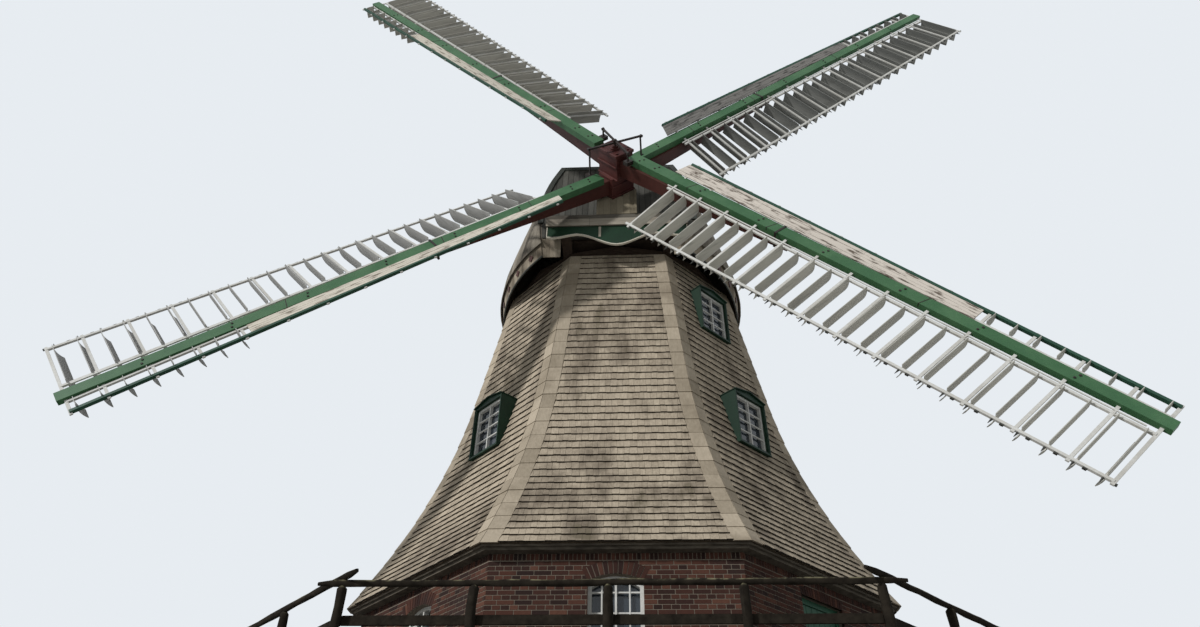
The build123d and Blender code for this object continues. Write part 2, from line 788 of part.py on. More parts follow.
save(cap_skirt, "cap_skirt")


# Cap beams: two sheers on the ring, and the beams that carry the windshaft
def shaft_z(y):
    """Height of the windshaft's middle line."""
    return SHAFT_ORIGIN.Z - y * tan(radians(SHAFT_TILT))


def shaft_bore(radius):
    """Room for the windshaft, cut from the beam or board in hand."""
    with BuildSketch(shaft_plane(-SHAFT_TAIL)) as bore:
        Circle(radius)
    extrude(bore.sketch, amount=SHAFT_TAIL + HUB_AXIAL, mode=Mode.SUBTRACT)


SHEER_LENGTH = -WEATHER_FRONT_Y - SCALLOP_SETBACK - SCALLOP_THICK
BREAST_Y = -SHEER_LENGTH + BREAST_INSET

with BuildPart() as cap_beams:
    with BuildSketch(Plane.XY.offset(CAP_RING_TOP)):
        for side in (-1, 1):
            with Locations((side * SHEER_X, -SHEER_LENGTH)):
                Rectangle(SHEER_SIZE[0], SHEER_LENGTH + SKIRT_HALF_LENGTH - 2 * SKIRT_THICK,
                          align=(Align.CENTER, Align.MIN))
    extrude(amount=SHEER_SIZE[1])
    with BuildSketch(Plane.XY.offset(SHEER_TOP)):
        with Locations((0, BREAST_Y)):
            Rectangle(2 * SHEER_X + SHEER_SIZE[0], BREAST_SIZE[0])
    extrude(amount=BREAST_SIZE[1])
    with BuildSketch(Plane.XY.offset(SHEER_TOP)):
        with Locations((0, BREAST_Y)):
            Rectangle(NECK_WIDTH, BREAST_SIZE[0])
    extrude(amount=shaft_z(BREAST_Y) - SHEER_TOP)
    with BuildSketch(Plane.XY.offset(SHEER_TOP)):
        with Locations((0, TAIL_Y)):
            Rectangle(2 * SHEER_X + SHEER_SIZE[0], BREAST_SIZE[0])
    extrude(amount=shaft_z(TAIL_Y) - SHEER_TOP)
    shaft_bore(SHAFT_RADIUS + BEARING_GAP)
save(cap_beams, "cap_beams")

# Boxed ledge at the gable's foot, and the scalloped board that hangs below it
LEDGE_TOP = Plane(
    origin=(0, WEATHER_FRONT_Y, WEATHER_TOP_Z), x_dir=(1, 0, 0),
    z_dir=(0, -sin(radians(WEATHER_SLOPE)), cos(radians(WEATHER_SLOPE))),
)

with BuildPart() as weather_board:
    with BuildSketch(Plane.XY.offset(WEATHER_BOTTOM_Z)):
        with Locations((0, WEATHER_FRONT_Y)):
            Rectangle(2 * WEATHER_HALF_WIDTH, -WEATHER_FRONT_Y, align=(Align.CENTER, Align.MIN))
    extrude(amount=SHOULDER_Z - WEATHER_BOTTOM_Z)
    split(bisect_by=LEDGE_TOP, keep=Keep.BOTTOM)
    split(bisect_by=FRONT_GABLE, keep=Keep.TOP)
    with BuildSketch(Plane.YZ):
        with Locations((WEATHER_FRONT_Y + WEATHER_THICK, WEATHER_BOTTOM_Z)):
            Rectangle(-WEATHER_FRONT_Y, WEATHER_TOP_Z - WEATHER_BOTTOM_Z - WEATHER_THICK,
                      align=(Align.MIN, Align.MIN))
    extrude(amount=WEATHER_HALF_WIDTH - WEATHER_THICK, both=True, mode=Mode.SUBTRACT)
save(weather_board, "weather_board")

SCALLOP_Y = WEATHER_FRONT_Y + SCALLOP_SETBACK
SCALLOP_ENDS = WEATHER_HALF_WIDTH - SCALLOP_THICK / 2

SCALLOP_EDGE = Spline(
    (-SCALLOP_ENDS, WEATHER_BOTTOM_Z - SCALLOP_END_DROP),
    (-SCALLOP_ENDS * SCALLOP_LIP_SHARE, WEATHER_BOTTOM_Z - SCALLOP_END_DROP - SCALLOP_LIP),
    (-SCALLOP_ENDS * SCALLOP_CREST_SHARE, WEATHER_BOTTOM_Z - SCALLOP_CREST_DROP),
    (0, WEATHER_BOTTOM_Z - SCALLOP_DIP_DROP),
    (SCALLOP_ENDS * SCALLOP_CREST_SHARE, WEATHER_BOTTOM_Z - SCALLOP_CREST_DROP),
    (SCALLOP_ENDS * SCALLOP_LIP_SHARE, WEATHER_BOTTOM_Z - SCALLOP_END_DROP - SCALLOP_LIP),
    (SCALLOP_ENDS, WEATHER_BOTTOM_Z - SCALLOP_END_DROP),
)

with BuildPart() as scalloped_board:
    with BuildSketch(cross_plane(SCALLOP_Y + SCALLOP_THICK)):
        with BuildLine():
            Polyline(
                *[SCALLOP_EDGE @ (step / SCALLOP_STEPS) for step in range(SCALLOP_STEPS + 1)],
                (SCALLOP_ENDS, WEATHER_BOTTOM_Z), (-SCALLOP_ENDS, WEATHER_BOTTOM_Z), close=True,
            )
        make_face()
    extrude(amount=SCALLOP_THICK)
save(scalloped_board, "scalloped_board")

# Boxed neck below the windshaft, in front of the gable
with BuildPart() as storm_box:
    with BuildSketch(FRONT_GABLE):
        with Locations((0, -NECK_HEIGHT / 2)):
            Rectangle(2 * NECK_HALF_WIDTH, NECK_HEIGHT)
    extrude(amount=NECK_LENGTH)
    split(bisect_by=LEDGE_TOP, keep=Keep.TOP)
    shaft_bore(SHAFT_RADIUS + SHAFT_GAP)
save(storm_box, "storm_box")

# Windshaft and poll end, with the stocks wedged through it
SAILS = {"a": (SAIL_ANGLE + 90, 0), "b": (SAIL_ANGLE, STOCK_SPACING),
         "c": (SAIL_ANGLE - 90, 0), "d": (SAIL_ANGLE - 180, STOCK_SPACING)}
UP_THE_SWEEP = Vector(0, sin(radians(SHAFT_TILT)), cos(radians(SHAFT_TILT)))


def sail_plane(angle, set_back):
    """Frame of one sail: x out along it, y to its leading side, z to the front."""
    across = Vector(cos(radians(angle)), 0, 0) + UP_THE_SWEEP * sin(radians(angle))
    cone_cos, cone_sin = cos(radians(CONING)), sin(radians(CONING))
    return Plane(
        origin=HUB - SHAFT_DIRECTION * set_back,
        x_dir=across * cone_cos + SHAFT_DIRECTION * cone_sin,
        z_dir=SHAFT_DIRECTION * cone_cos - across * cone_sin,
    )


def tapered_beam(start, end, middle, widths, front, depths):
    """Beam along a sail, flat in front, that tapers evenly in width and depth."""
    under = Plane(
        origin=(start, 0, front - depths[0]), x_dir=(end - start, 0, depths[0] - depths[1]),
        z_dir=(depths[1] - depths[0], 0, end - start),
    )
    with BuildPart() as beam:
        with BuildSketch(Plane.XY.offset(front)):
            with BuildLine():
                Polyline(
                    (start, middle - widths[0] / 2), (start, middle + widths[0] / 2),
                    (end, middle + widths[1] / 2), (end, middle - widths[1] / 2), close=True,
                )
            make_face()
        extrude(amount=-depths[0])
        split(bisect_by=under, keep=Keep.TOP)
    return beam.part


STOCK_HALF = tapered_beam(
    -STOCK_OVERLAP, STOCK_HALF_LENGTH, 0, (STOCK_ROOT[0], STOCK_TIP[0]),
    -WHIP_ROOT[1], (STOCK_ROOT[1], STOCK_TIP[1]),
)

STOCKS = {}
for stock_name, pair in {"front_stock": "ac", "rear_stock": "bd"}.items():
    with BuildPart() as stock:
        for key in pair:
            add(STOCK_HALF.moved(sail_plane(*SAILS[key]).location))
    STOCKS[stock_name] = save(stock, stock_name)

POLL_BACK = HUB_AXIAL + POLL_FRONT - POLL_LENGTH

with BuildPart() as poll_end:
    with BuildSketch(shaft_plane(POLL_BACK)):
        Rectangle(*POLL_SLEEVE, rotation=SAIL_ANGLE)
    extrude(amount=POLL_LENGTH - POLL_FRONT_LENGTH)
    with BuildSketch(shaft_plane(POLL_BACK + POLL_LENGTH - POLL_FRONT_LENGTH)):
        Rectangle(*POLL_SLEEVE, rotation=SAIL_ANGLE + 90)
    extrude(amount=POLL_FRONT_LENGTH)
    for stock_part in STOCKS.values():
        add(stock_part, mode=Mode.SUBTRACT)
save(poll_end, "poll_end")

with BuildPart() as windshaft:
    with BuildSketch(shaft_plane(-SHAFT_TAIL)):
        Circle(SHAFT_RADIUS)
    extrude(amount=POLL_BACK + SHAFT_TAIL)
save(windshaft, "windshaft")


# One sail in its own frame: whip, bars and rails, windboards and shutters
def share(radius):
    """How far along the sail's frame this radius is, from 0 to 1."""
    return (radius - FRAME_START) / (FRAME_END - FRAME_START)


def blend(pair, radius):
    return pair[0] + (pair[1] - pair[0]) * share(radius)


def twisted(radius, tilt=0):
    """Station turned to the sail's weather there: x to the leading side, y to the front.

    The tilt tips it about its own x, as a shutter tips on its pivots."""
    turn = radians(blend((WEATHER_ROOT, WEATHER_TIP), radius))
    normal = Vector(0, -sin(turn), cos(turn))
    return Plane(
        origin=(radius, 0, BAR_LEVEL), x_dir=(0, cos(turn), sin(turn)),
        z_dir=Vector(1, 0, 0) * cos(radians(tilt)) + normal * sin(radians(tilt)),
    )


def shutter_radius(index):
    return FRAME_START + SHUTTER_PITCH * (index + 0.5)


BAR_STATIONS = [shutter_radius(2 * index) - BAR_SETBACK for index in range(BAR_COUNT - 1)] + [FRAME_END]


def bars(add_mode):
    """The sail bars, each through the whip and past the outer rails."""
    for radius in BAR_STATIONS:
        low = -blend(TRAIL_OUTER, radius) - BAR_PEG
        high = blend(LEAD_OUTER, radius) + BAR_PEG
        with BuildSketch(twisted(radius)) as section:
            with Locations(((low + high) / 2, 0)):
                Rectangle(high - low, BAR_SIZE[1])
        extrude(section.sketch, amount=BAR_SIZE[0] / 2, both=True, mode=add_mode)


def rail(across, start, end, size):
    """Long rail through the bars: across gives its place at each radius."""
    stations = [start] + [r for r in BAR_STATIONS if start < r < end] + [end]
    sections = []
    for radius in stations:
        with BuildSketch(twisted(radius)) as section:
            with Locations((across(radius), 0)):
                Rectangle(*size)
        sections.append(section.sketch)
    loft(sections, ruled=True)


with BuildPart() as whip_master:
    add(tapered_beam(
        WHIP_START, SAIL_RADIUS, WHIP_SHIFT, (WHIP_ROOT[0], WHIP_TIP[0]), 0, (WHIP_ROOT[1], WHIP_TIP[1]),
    ))
    bars(Mode.SUBTRACT)

with BuildPart() as frame_master:
    bars(Mode.ADD)
    rail(lambda r: -TRAIL_INNER, FRAME_START, FRAME_END, RAIL_SIZE)
    rail(lambda r: -blend(TRAIL_OUTER, r), FRAME_START, FRAME_END, RAIL_SIZE)
    rail(lambda r: blend(LEAD_OUTER, r), FRAME_START, FRAME_END, RAIL_SIZE)
    rail(lambda r: LEAD_INNER, BOARDS_END, FRAME_END, RAIL_SIZE)

with BuildPart() as boards_master:
    board_edge = RAIL_SIZE[0] / 2 + SHUTTER_GAP
    sections = []
    for radius in [BOARDS_START] + [r for r in BAR_STATIONS if r < BOARDS_END] + [BOARDS_END]:
        inner = WHIP_SHIFT + WHIP_ROOT[0] / 2 + SHUTTER_GAP
        outer = blend(LEAD_OUTER, radius) - board_edge
        with BuildSketch(twisted(radius)) as section:
            with Locations(((inner + outer) / 2, (BAR_SIZE[1] + BOARDS_THICK) / 2 + SEAT_GAP)):
                Rectangle(outer - inner, BOARDS_THICK)
        sections.append(section.sketch)
    loft(sections, ruled=True)


def shutter_row(opening):
    """All shutters of one sail, tipped open on their pivots near the front edge."""
    with BuildPart() as row:
        for index in range(SHUTTER_COUNT):
            radius = shutter_radius(index)
            rail_face = RAIL_SIZE[0] / 2 + SHUTTER_END_GAP
            spans = [(-blend(TRAIL_OUTER, radius) + rail_face, -TRAIL_INNER - rail_face)]
            if radius > BOARDS_END:
                spans.append((LEAD_INNER + rail_face, blend(LEAD_OUTER, radius) - rail_face))
            back = twisted(radius, opening).offset(SHUTTER_FRONT - SHUTTER_WIDTH)
            for low, high in spans:
                with BuildSketch(back) as section:
                    with Locations(((low + high) / 2, 0)):
                        Rectangle(high - low, SHUTTER_THICK)
                extrude(section.sketch, amount=SHUTTER_WIDTH)
    return row.part


with BuildPart() as whips:
    for key, placing in SAILS.items():
        add(whip_master.part.moved(sail_plane(*placing).location))
save(whips, "whips")

with BuildPart() as windboards:
    for key, placing in SAILS.items():
        add(boards_master.part.moved(sail_plane(*placing).location))
save(windboards, "windboards")

for key, placing in SAILS.items():
    with BuildPart() as sail_frame:
        add(frame_master.part.moved(sail_plane(*placing).location))
    save(sail_frame, f"sail_frame_{key}")
    with BuildPart() as shutters:
        add(shutter_row(SHUTTER_OPEN[key]).moved(sail_plane(*placing).location))
    save(shutters, f"shutters_{key}")

# Striking gear at the hub: the rod through the poll end, two crossed arms, and from each arm's
# end a link back to the crank at the root of a whip
SPIDER_AXIAL = HUB_AXIAL + POLL_FRONT + STRIKING_REACH
CRANK_MIDDLE = -(CRANK_SIDE[0] + CRANK_SIDE[1]) / 2

with BuildPart() as striking_gear:
    with BuildSketch(shaft_plane(HUB_AXIAL + POLL_FRONT)):
        RegularPolygon(STRIKING_ROD, POLE_SIDES)
    extrude(amount=STRIKING_REACH)
    for key, (angle, set_back) in SAILS.items():
        arm_back = ARM_SIZE * (2 if set_back else 1)
        spider = shaft_plane(SPIDER_AXIAL - arm_back)
        arm = Plane(origin=spider.origin, x_dir=sail_plane(angle, 0).x_dir, z_dir=spider.z_dir)
        arm_length = hypot(CRANK_RADIUS, CRANK_MIDDLE)
        with BuildSketch(arm):
            Rectangle(arm_length, ARM_SIZE, rotation=degrees(atan2(CRANK_MIDDLE, CRANK_RADIUS)),
                      align=(Align.MIN, Align.CENTER))
        extrude(amount=ARM_SIZE)
        rise = set_back + POLL_FRONT + STRIKING_REACH - arm_back
        crank = sail_plane(angle, set_back).offset(-CRANK_DEPTH)
        with BuildSketch(crank):
            with Locations((CRANK_RADIUS, CRANK_MIDDLE)):
                Rectangle(CRANK_LENGTH, CRANK_SIDE[1] - CRANK_SIDE[0])
        extrude(amount=CRANK_DEPTH)
        with BuildSketch(crank):
            with Locations((CRANK_RADIUS, CRANK_MIDDLE)):
                Rectangle(LINK_SIZE, LINK_SIZE)
        extrude(amount=CRANK_DEPTH + rise)
save(striking_gear, "striking_gear")
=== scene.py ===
import json
import random
from math import asin, atan2, ceil, cos, hypot, pi, radians, sin, sqrt, tan

import bpy
from mathutils import Matrix, Vector, noise

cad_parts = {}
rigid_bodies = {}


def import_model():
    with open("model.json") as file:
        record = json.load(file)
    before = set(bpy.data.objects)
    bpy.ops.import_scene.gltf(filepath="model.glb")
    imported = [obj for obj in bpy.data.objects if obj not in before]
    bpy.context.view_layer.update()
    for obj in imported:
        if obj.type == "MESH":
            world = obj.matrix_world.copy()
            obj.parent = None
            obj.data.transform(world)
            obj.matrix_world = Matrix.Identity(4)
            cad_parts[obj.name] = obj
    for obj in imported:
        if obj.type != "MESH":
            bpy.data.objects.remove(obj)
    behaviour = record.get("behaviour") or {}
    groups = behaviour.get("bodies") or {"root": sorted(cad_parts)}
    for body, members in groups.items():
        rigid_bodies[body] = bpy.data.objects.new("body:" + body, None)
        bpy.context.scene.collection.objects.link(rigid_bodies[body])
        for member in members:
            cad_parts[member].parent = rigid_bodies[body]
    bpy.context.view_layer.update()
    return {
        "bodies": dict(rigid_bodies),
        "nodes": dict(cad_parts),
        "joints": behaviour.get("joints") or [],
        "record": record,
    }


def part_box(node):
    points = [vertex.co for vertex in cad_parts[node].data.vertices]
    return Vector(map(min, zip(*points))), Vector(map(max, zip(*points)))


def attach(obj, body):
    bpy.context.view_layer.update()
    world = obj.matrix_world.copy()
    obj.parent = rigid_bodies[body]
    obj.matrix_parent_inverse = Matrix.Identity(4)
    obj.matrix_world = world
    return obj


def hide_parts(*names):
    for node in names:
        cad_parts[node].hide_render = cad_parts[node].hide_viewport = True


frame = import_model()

nodes = frame["nodes"]
scene = bpy.context.scene

# Ground and sky. The mill stands on a plain pale floor under an even sky, with one wide soft
# lamp from the upper left. Only the camera, and glass and metal, see the sky's paler colour.
FLOOR_SIZE = 300
FLOOR_TONE = (0.62, 0.62, 0.60, 1)
FLOOR_ROUGHNESS = 0.9
SKY_SEEN = (0.80, 0.84, 0.88, 1)
SKY_LIGHT = (0.90, 0.95, 1.0, 1)
SKY_STRENGTH = 0.34
LAMP_FROM = Vector((-0.66, -0.62, 0.50))
LAMP_STRENGTH = 2.7
LAMP_ANGLE = 5


def added(name):
    """The primitive that was just added, named."""
    piece = bpy.context.object
    piece.name = name
    piece.data.name = name
    return piece


scene.view_settings.view_transform = "Standard"
bpy.ops.mesh.primitive_plane_add(size=FLOOR_SIZE)
floor = added("floor")
floor_finish = bpy.data.materials.new("floor")
floor_finish.use_nodes = True
floor_shader = floor_finish.node_tree.nodes["Principled BSDF"].inputs
floor_shader["Base Color"].default_value = FLOOR_TONE
floor_shader["Roughness"].default_value = FLOOR_ROUGHNESS
floor.data.materials.append(floor_finish)

world = bpy.data.worlds.new("sky")
scene.world = world
world.use_nodes = True
sky = world.node_tree
lit = sky.nodes["Background"]
lit.inputs["Color"].default_value = SKY_LIGHT
lit.inputs["Strength"].default_value = SKY_STRENGTH
seen = sky.nodes.new("ShaderNodeBackground")
seen.inputs["Color"].default_value = SKY_SEEN
light_path = sky.nodes.new("ShaderNodeLightPath")
seen_ray = light_path.outputs["Is Camera Ray"]
for kind in ("Is Glossy Ray", "Is Transmission Ray"):
    either = sky.nodes.new("ShaderNodeMath")
    either.operation = "MAXIMUM"
    sky.links.new(seen_ray, either.inputs[0])
    sky.links.new(light_path.outputs[kind], either.inputs[1])
    seen_ray = either.outputs[0]
sky_mix = sky.nodes.new("ShaderNodeMixShader")
for target, source in zip(sky_mix.inputs, (seen_ray, lit.outputs[0], seen.outputs[0])):
    sky.links.new(source, target)
sky.links.new(sky_mix.outputs[0], sky.nodes["World Output"].inputs["Surface"])

bpy.ops.object.light_add(type="SUN")
lamp = bpy.context.object
lamp.name = "lamp"
lamp.rotation_euler = LAMP_FROM.to_track_quat("Z", "Y").to_euler()
lamp.data.energy = LAMP_STRENGTH
lamp.data.angle = radians(LAMP_ANGLE)

# Camera. It stands in front of the gallery at eye height and looks steeply up at the sails.
# The pitch, turn and lean are those of the photograph, and the frame sits a little low.
EYE = Vector((0.337, -15.653, 1.6))
PITCH = radians(39.86)
TURN = radians(-3.14)
LEAN = radians(0.8)
LENS = 23.76
FRAME_SHIFT = -0.0094

forward = Vector((sin(TURN) * cos(PITCH), cos(TURN) * cos(PITCH), sin(PITCH)))
level = Vector((cos(TURN), -sin(TURN), 0))
upright = level.cross(forward)
right = level * cos(LEAN) + upright * sin(LEAN)
up = upright * cos(LEAN) - level * sin(LEAN)
bpy.ops.object.camera_add()
camera = bpy.context.object
camera.matrix_world = Matrix.Translation(EYE) @ Matrix((right, up, -forward)).transposed().to_4x4()
camera.data.lens = LENS
camera.data.shift_y = FRAME_SHIFT
camera.data.clip_end = FLOOR_SIZE
scene.camera = camera

# Masonry of the base. Dark red bricks in cross bond stand a little proud of pale mortar, cut round
# the windows and doors and mitred at the corners. Over each opening stands a row of voussoirs.
BRICK = Vector((0.252, 0.05, 0.058))
BED = 0.012
BRICK_PROUD = 0.005
FAN_BACK = 0.003
MITRE_GAP = 0.002
ARCH_HEIGHT = 0.19
ARCH_BRICKS = 13
WIDE_ARCH_BRICKS = 17
WIDE_HALF = 0.5
FLAT_RISE = 0.02
LINTEL_RADIUS = 3.2
UPPER_STOREY = 5
STANDING_FOOT = 6.095
STANDING_WIDTH = 0.062
PLUG_REACH = 0.25
WELD = 0.0001
SAME_PLACE = 0.01
UNEVEN = 0.004
# Part of the bricks' darkness is painted shade: the tones are set darker than the dark red brick, to the
# walls' look in shade.
BRICK_TONES_WITH_PAINTED_SHADE = ((0.0, (0.012, 0.007, 0.006)), (0.35, (0.034, 0.014, 0.010)),
               (0.75, (0.066, 0.025, 0.016)), (1.0, (0.115, 0.050, 0.032)))
MORTAR = (0.250, 0.210, 0.165)
MORTAR_DARK = (0.135, 0.112, 0.088)
SOOT = (0.022, 0.017, 0.015)
FACE_NAMES = ("front", "front_right", "right", "back_right", "back", "back_left", "left", "front_left")
FACE_TURN = pi / 4
TAN_CORNER = tan(FACE_TURN / 2)


class Socket:
    """An output of a shader node that takes part in Python expressions."""

    def __init__(self, finish, output):
        self.finish = finish
        self.output = output

    def __add__(self, other):
        return self.finish.calculate("ADD", self, other)

    def __sub__(self, other):
        return self.finish.calculate("SUBTRACT", self, other)

    def __mul__(self, other):
        return self.finish.calculate("MULTIPLY", self, other)

    def __mod__(self, other):
        return self.finish.calculate("FLOORED_MODULO", self, other)


class Finish:
    """A material on the Principled shader, whose nodes all come from one method."""

    def __init__(self, name, roughness=0.8, shine=0.2):
        self.material = bpy.data.materials.new(name)
        self.material.use_nodes = True
        self.tree = self.material.node_tree
        self.shader = self.tree.nodes["Principled BSDF"].inputs
        self.shader["Roughness"].default_value = roughness
        self.shader["Specular IOR Level"].default_value = shine

    def node(self, kind, settings=None, inputs=None, output=0):
        made = self.tree.nodes.new(kind)
        for key, value in (settings or {}).items():
            setattr(made, key, value)
        for key, value in (inputs or {}).items():
            self.feed(made.inputs[key], value)
        return Socket(self, made.outputs[output])

    def feed(self, target, value):
        if isinstance(value, Socket):
            self.tree.links.new(value.output, target)
        else:
            target.default_value = (*value, 1) if target.type == "RGBA" else value

    def calculate(self, operation, first, second):
        return self.node("ShaderNodeMath", {"operation": operation}, {0: first, 1: second})

    def place(self, stretch=(1, 1, 1), frame=None):
        """The point on the object, in a turned frame where one is given, stretched for the pattern."""
        point = self.node("ShaderNodeTexCoord", output="Object")
        if frame is None:
            return self.node("ShaderNodeMapping", inputs={"Vector": point, "Scale": stretch})
        return self.node("ShaderNodeMapping", {"vector_type": "TEXTURE"}, {
            "Vector": point, "Location": frame.translation, "Rotation": frame.to_euler(),
            "Scale": tuple(1 / value for value in stretch)})

    def noise(self, scale, stretch=(1, 1, 1), detail=5.0, frame=None):
        return self.node("ShaderNodeTexNoise", inputs={
            "Vector": self.place(stretch, frame), "Scale": scale, "Detail": detail, "Roughness": 0.6})

    def geometry(self, output):
        return self.node("ShaderNodeNewGeometry", output=output)

    def island(self):
        """A number that differs from one loose piece of the mesh to the next."""
        return self.geometry("Random Per Island")

    def axis(self, vector, index):
        return self.node("ShaderNodeSeparateXYZ", inputs={0: vector}, output=index)

    def ramp(self, value, stops):
        made = self.node("ShaderNodeValToRGB", inputs={"Fac": value})
        elements = made.output.node.color_ramp.elements
        while len(elements) < len(stops):
            elements.new(0.5)
        for element, (position, tone) in zip(elements, stops):
            element.position = position
            element.color = (*tone, 1)
        return made

    def mix(self, share, first, second):
        return self.node("ShaderNodeMix", {"data_type": "RGBA"}, {0: share, 6: first, 7: second}, output=2)

    def between(self, value, low, high):
        """0 below low, 1 above high, and a smooth step from one to the other."""
        return self.node("ShaderNodeMapRange", {"interpolation_type": "SMOOTHSTEP"},
                         {"Value": value, "From Min": low, "From Max": high})

    def stain(self, tone, colour, value, low, high, amount):
        """The tone, with this much of a colour over it where the value is high."""
        return self.mix(self.between(value, low, high) * amount, tone, colour)

    def bump(self, height, distance, strength):
        inputs = {"Height": height, "Distance": distance, "Strength": strength}
        return self.node("ShaderNodeBump", inputs=inputs)

    def done(self, color, normal, roughness=None):
        self.feed(self.shader["Base Color"], color)
        self.feed(self.shader["Normal"], normal)
        if roughness:
            self.feed(self.shader["Roughness"], roughness)
        return self.material


def blend(low, high, share):
    return low + (high - low) * share


def alone(piece):
    """Makes a piece the one that is selected and active."""
    bpy.ops.object.select_all(action="DESELECT")
    piece.select_set(True)
    bpy.context.view_layer.objects.active = piece
    return piece


def edited(piece, operator, **settings):
    """Runs one mesh operator on the whole of a piece."""
    alone(piece)
    bpy.ops.object.mode_set(mode="EDIT")
    bpy.ops.mesh.select_all(action="SELECT")
    operator(**settings)
    bpy.ops.object.mode_set(mode="OBJECT")
    return piece


def hull(piece):
    return edited(piece, bpy.ops.mesh.convex_hull)


def outward_faces(piece):
    """Turns all faces of closed shells outwards, after a mirrored or bent placing."""
    return edited(piece, bpy.ops.mesh.normals_make_consistent, inside=False)


def reshape(piece, move):
    """Moves each corner of a piece to where the function says."""
    for vertex in piece.data.vertices:
        vertex.co = move(vertex.co.copy())
    return piece


def moved(piece, matrix):
    piece.data.transform(matrix)
    return piece


def mirrored(piece, x=1, y=1):
    return outward_faces(reshape(piece, lambda co: Vector((x * co.x, y * co.y, co.z))))


def joined(pieces, name):
    alone(pieces[0])
    for piece in pieces:
        piece.select_set(True)
    if len(pieces) > 1:
        bpy.ops.object.join()
    return added(name)


def settle(piece):
    """Applies the piece's place to its mesh and leaves its object at the origin."""
    alone(piece)
    bpy.ops.object.transform_apply(location=True, rotation=True, scale=True)
    return piece


def block(name, low, high):
    """A closed block between two corners, as a start for shaping."""
    low, high = Vector(low), Vector(high)
    bpy.ops.mesh.primitive_cube_add(size=1, location=(low + high) / 2, scale=high - low)
    return settle(added(name))


def rod(name, sides, radius, depth, ends="NGON"):
    """A closed upright cylinder round the origin."""
    bpy.ops.mesh.primitive_cylinder_add(vertices=sides, radius=radius, depth=depth, end_fill_type=ends)
    return settle(added(name))


def modified(piece, kind, **settings):
    """Adds one modifier to a piece and applies it."""
    modifier = alone(piece).modifiers.new(kind.lower(), kind)
    for key, value in settings.items():
        setattr(modifier, key, value)
    bpy.ops.object.modifier_apply(modifier=modifier.name)
    return piece


def cut(piece, tool, operation="DIFFERENCE"):
    return modified(piece, "BOOLEAN", operation=operation, object=tool, solver="MANIFOLD")


def repeated(piece, count, *step):
    """A row of the piece, one step apart."""
    return modified(piece, "ARRAY", count=count, use_relative_offset=False, use_constant_offset=True,
                    constant_offset_displace=step)


def bevelled(piece, width, **settings):
    return modified(piece, "BEVEL", width=width, **settings)


def copy_of(piece, name, turn=0.0):
    """A copy with its own mesh, turned about the mill's upright axis."""
    twin = piece.copy()
    twin.data = piece.data.copy()
    twin.name = name
    twin.data.name = name
    scene.collection.objects.link(twin)
    return moved(twin, Matrix.Rotation(turn, 4, "Z"))


def drop(*pieces):
    for piece in pieces:
        bpy.data.objects.remove(piece)


def all_round(piece, name):
    """The piece on all eight sides of the mill, joined into one."""
    turns = [copy_of(piece, name, index * FACE_TURN) for index in range(len(FACE_NAMES))]
    drop(piece)
    return joined(turns, name)


def dress(piece, material, body, slot, *replaced):
    """Gives a finished piece its material, what it rides on and the CAD nodes it stands for."""
    piece.data.materials.clear()
    piece.data.materials.append(material)
    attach(piece, body)
    if replaced:
        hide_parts(*replaced)
    return piece


def finish_nodes(material, *names):
    for name in names:
        nodes[name].data.materials.clear()
        nodes[name].data.materials.append(material)


def slab(name, segments=1):
    """A closed unit slab with cuts along it, as a start for boards that bend."""
    bpy.ops.mesh.primitive_grid_add(x_subdivisions=segments, y_subdivisions=1, size=1,
                                    location=(0.5, 0.5, 0.5))
    return modified(settle(added(name)), "SOLIDIFY", thickness=1.0, offset=0.0)


def shaped(master, move):
    """A copy of a unit slab with each corner (along, across, through) put where it belongs."""
    return reshape(copy_of(master, "part"), lambda co: Vector(move(co.x, co.y, co.z)))


def cad_pieces(node):
    """The solids of a CAD node, as separate closed meshes."""
    source = copy_of(nodes[node], node + "_copy")
    source.parent = None
    edited(source, bpy.ops.mesh.remove_doubles, threshold=WELD)
    edited(source, bpy.ops.mesh.separate, type="LOOSE")
    return list(bpy.context.selected_objects)


def middle_of(piece):
    return sum((vertex.co for vertex in piece.data.vertices), Vector()) / len(piece.data.vertices)


def run_out(piece, outward, reach):
    """Moves the outer side of a convex piece further out, so that it cuts through a facing."""
    middle = middle_of(piece)
    return reshape(piece, lambda co: co + outward * (reach if (co - middle).dot(outward) > 0 else 0))


def plugs(node):
    """A convex plug for each solid of a node, with the face of the mill that it stands in."""
    made = cad_pieces(node)
    for piece in made:
        middle = middle_of(hull(piece))
        face = round((atan2(middle.y, middle.x) + pi / 2) / FACE_TURN)
        piece["turn"] = face * FACE_TURN
        piece["face"] = face % len(FACE_NAMES)
        run_out(piece, Vector((sin(piece["turn"]), -cos(piece["turn"]), 0)), PLUG_REACH)
    return made


def measured(plug):
    """A copy of a plug turned to the front, and its half width, foot, shoulder and top."""
    place = copy_of(plug, "place", -plug["turn"])
    corners = [vertex.co for vertex in place.data.vertices]
    half = max(co.x for co in corners)
    heights = [co.z for co in corners]
    shoulder = max(co.z for co in corners if abs(co.x) > half - SAME_PLACE)
    return place, half, min(heights), shoulder, max(heights)


def corner_wedge(shorter, low, high):
    """The room in front of the front face between its two corner planes, moved in by a width."""
    wedge = block("wedge", (-1, -9, low), (1, -1, high))
    return reshape(wedge, lambda co: Vector((co.x * (-co.y * TAN_CORNER - shorter), co.y, co.z)))


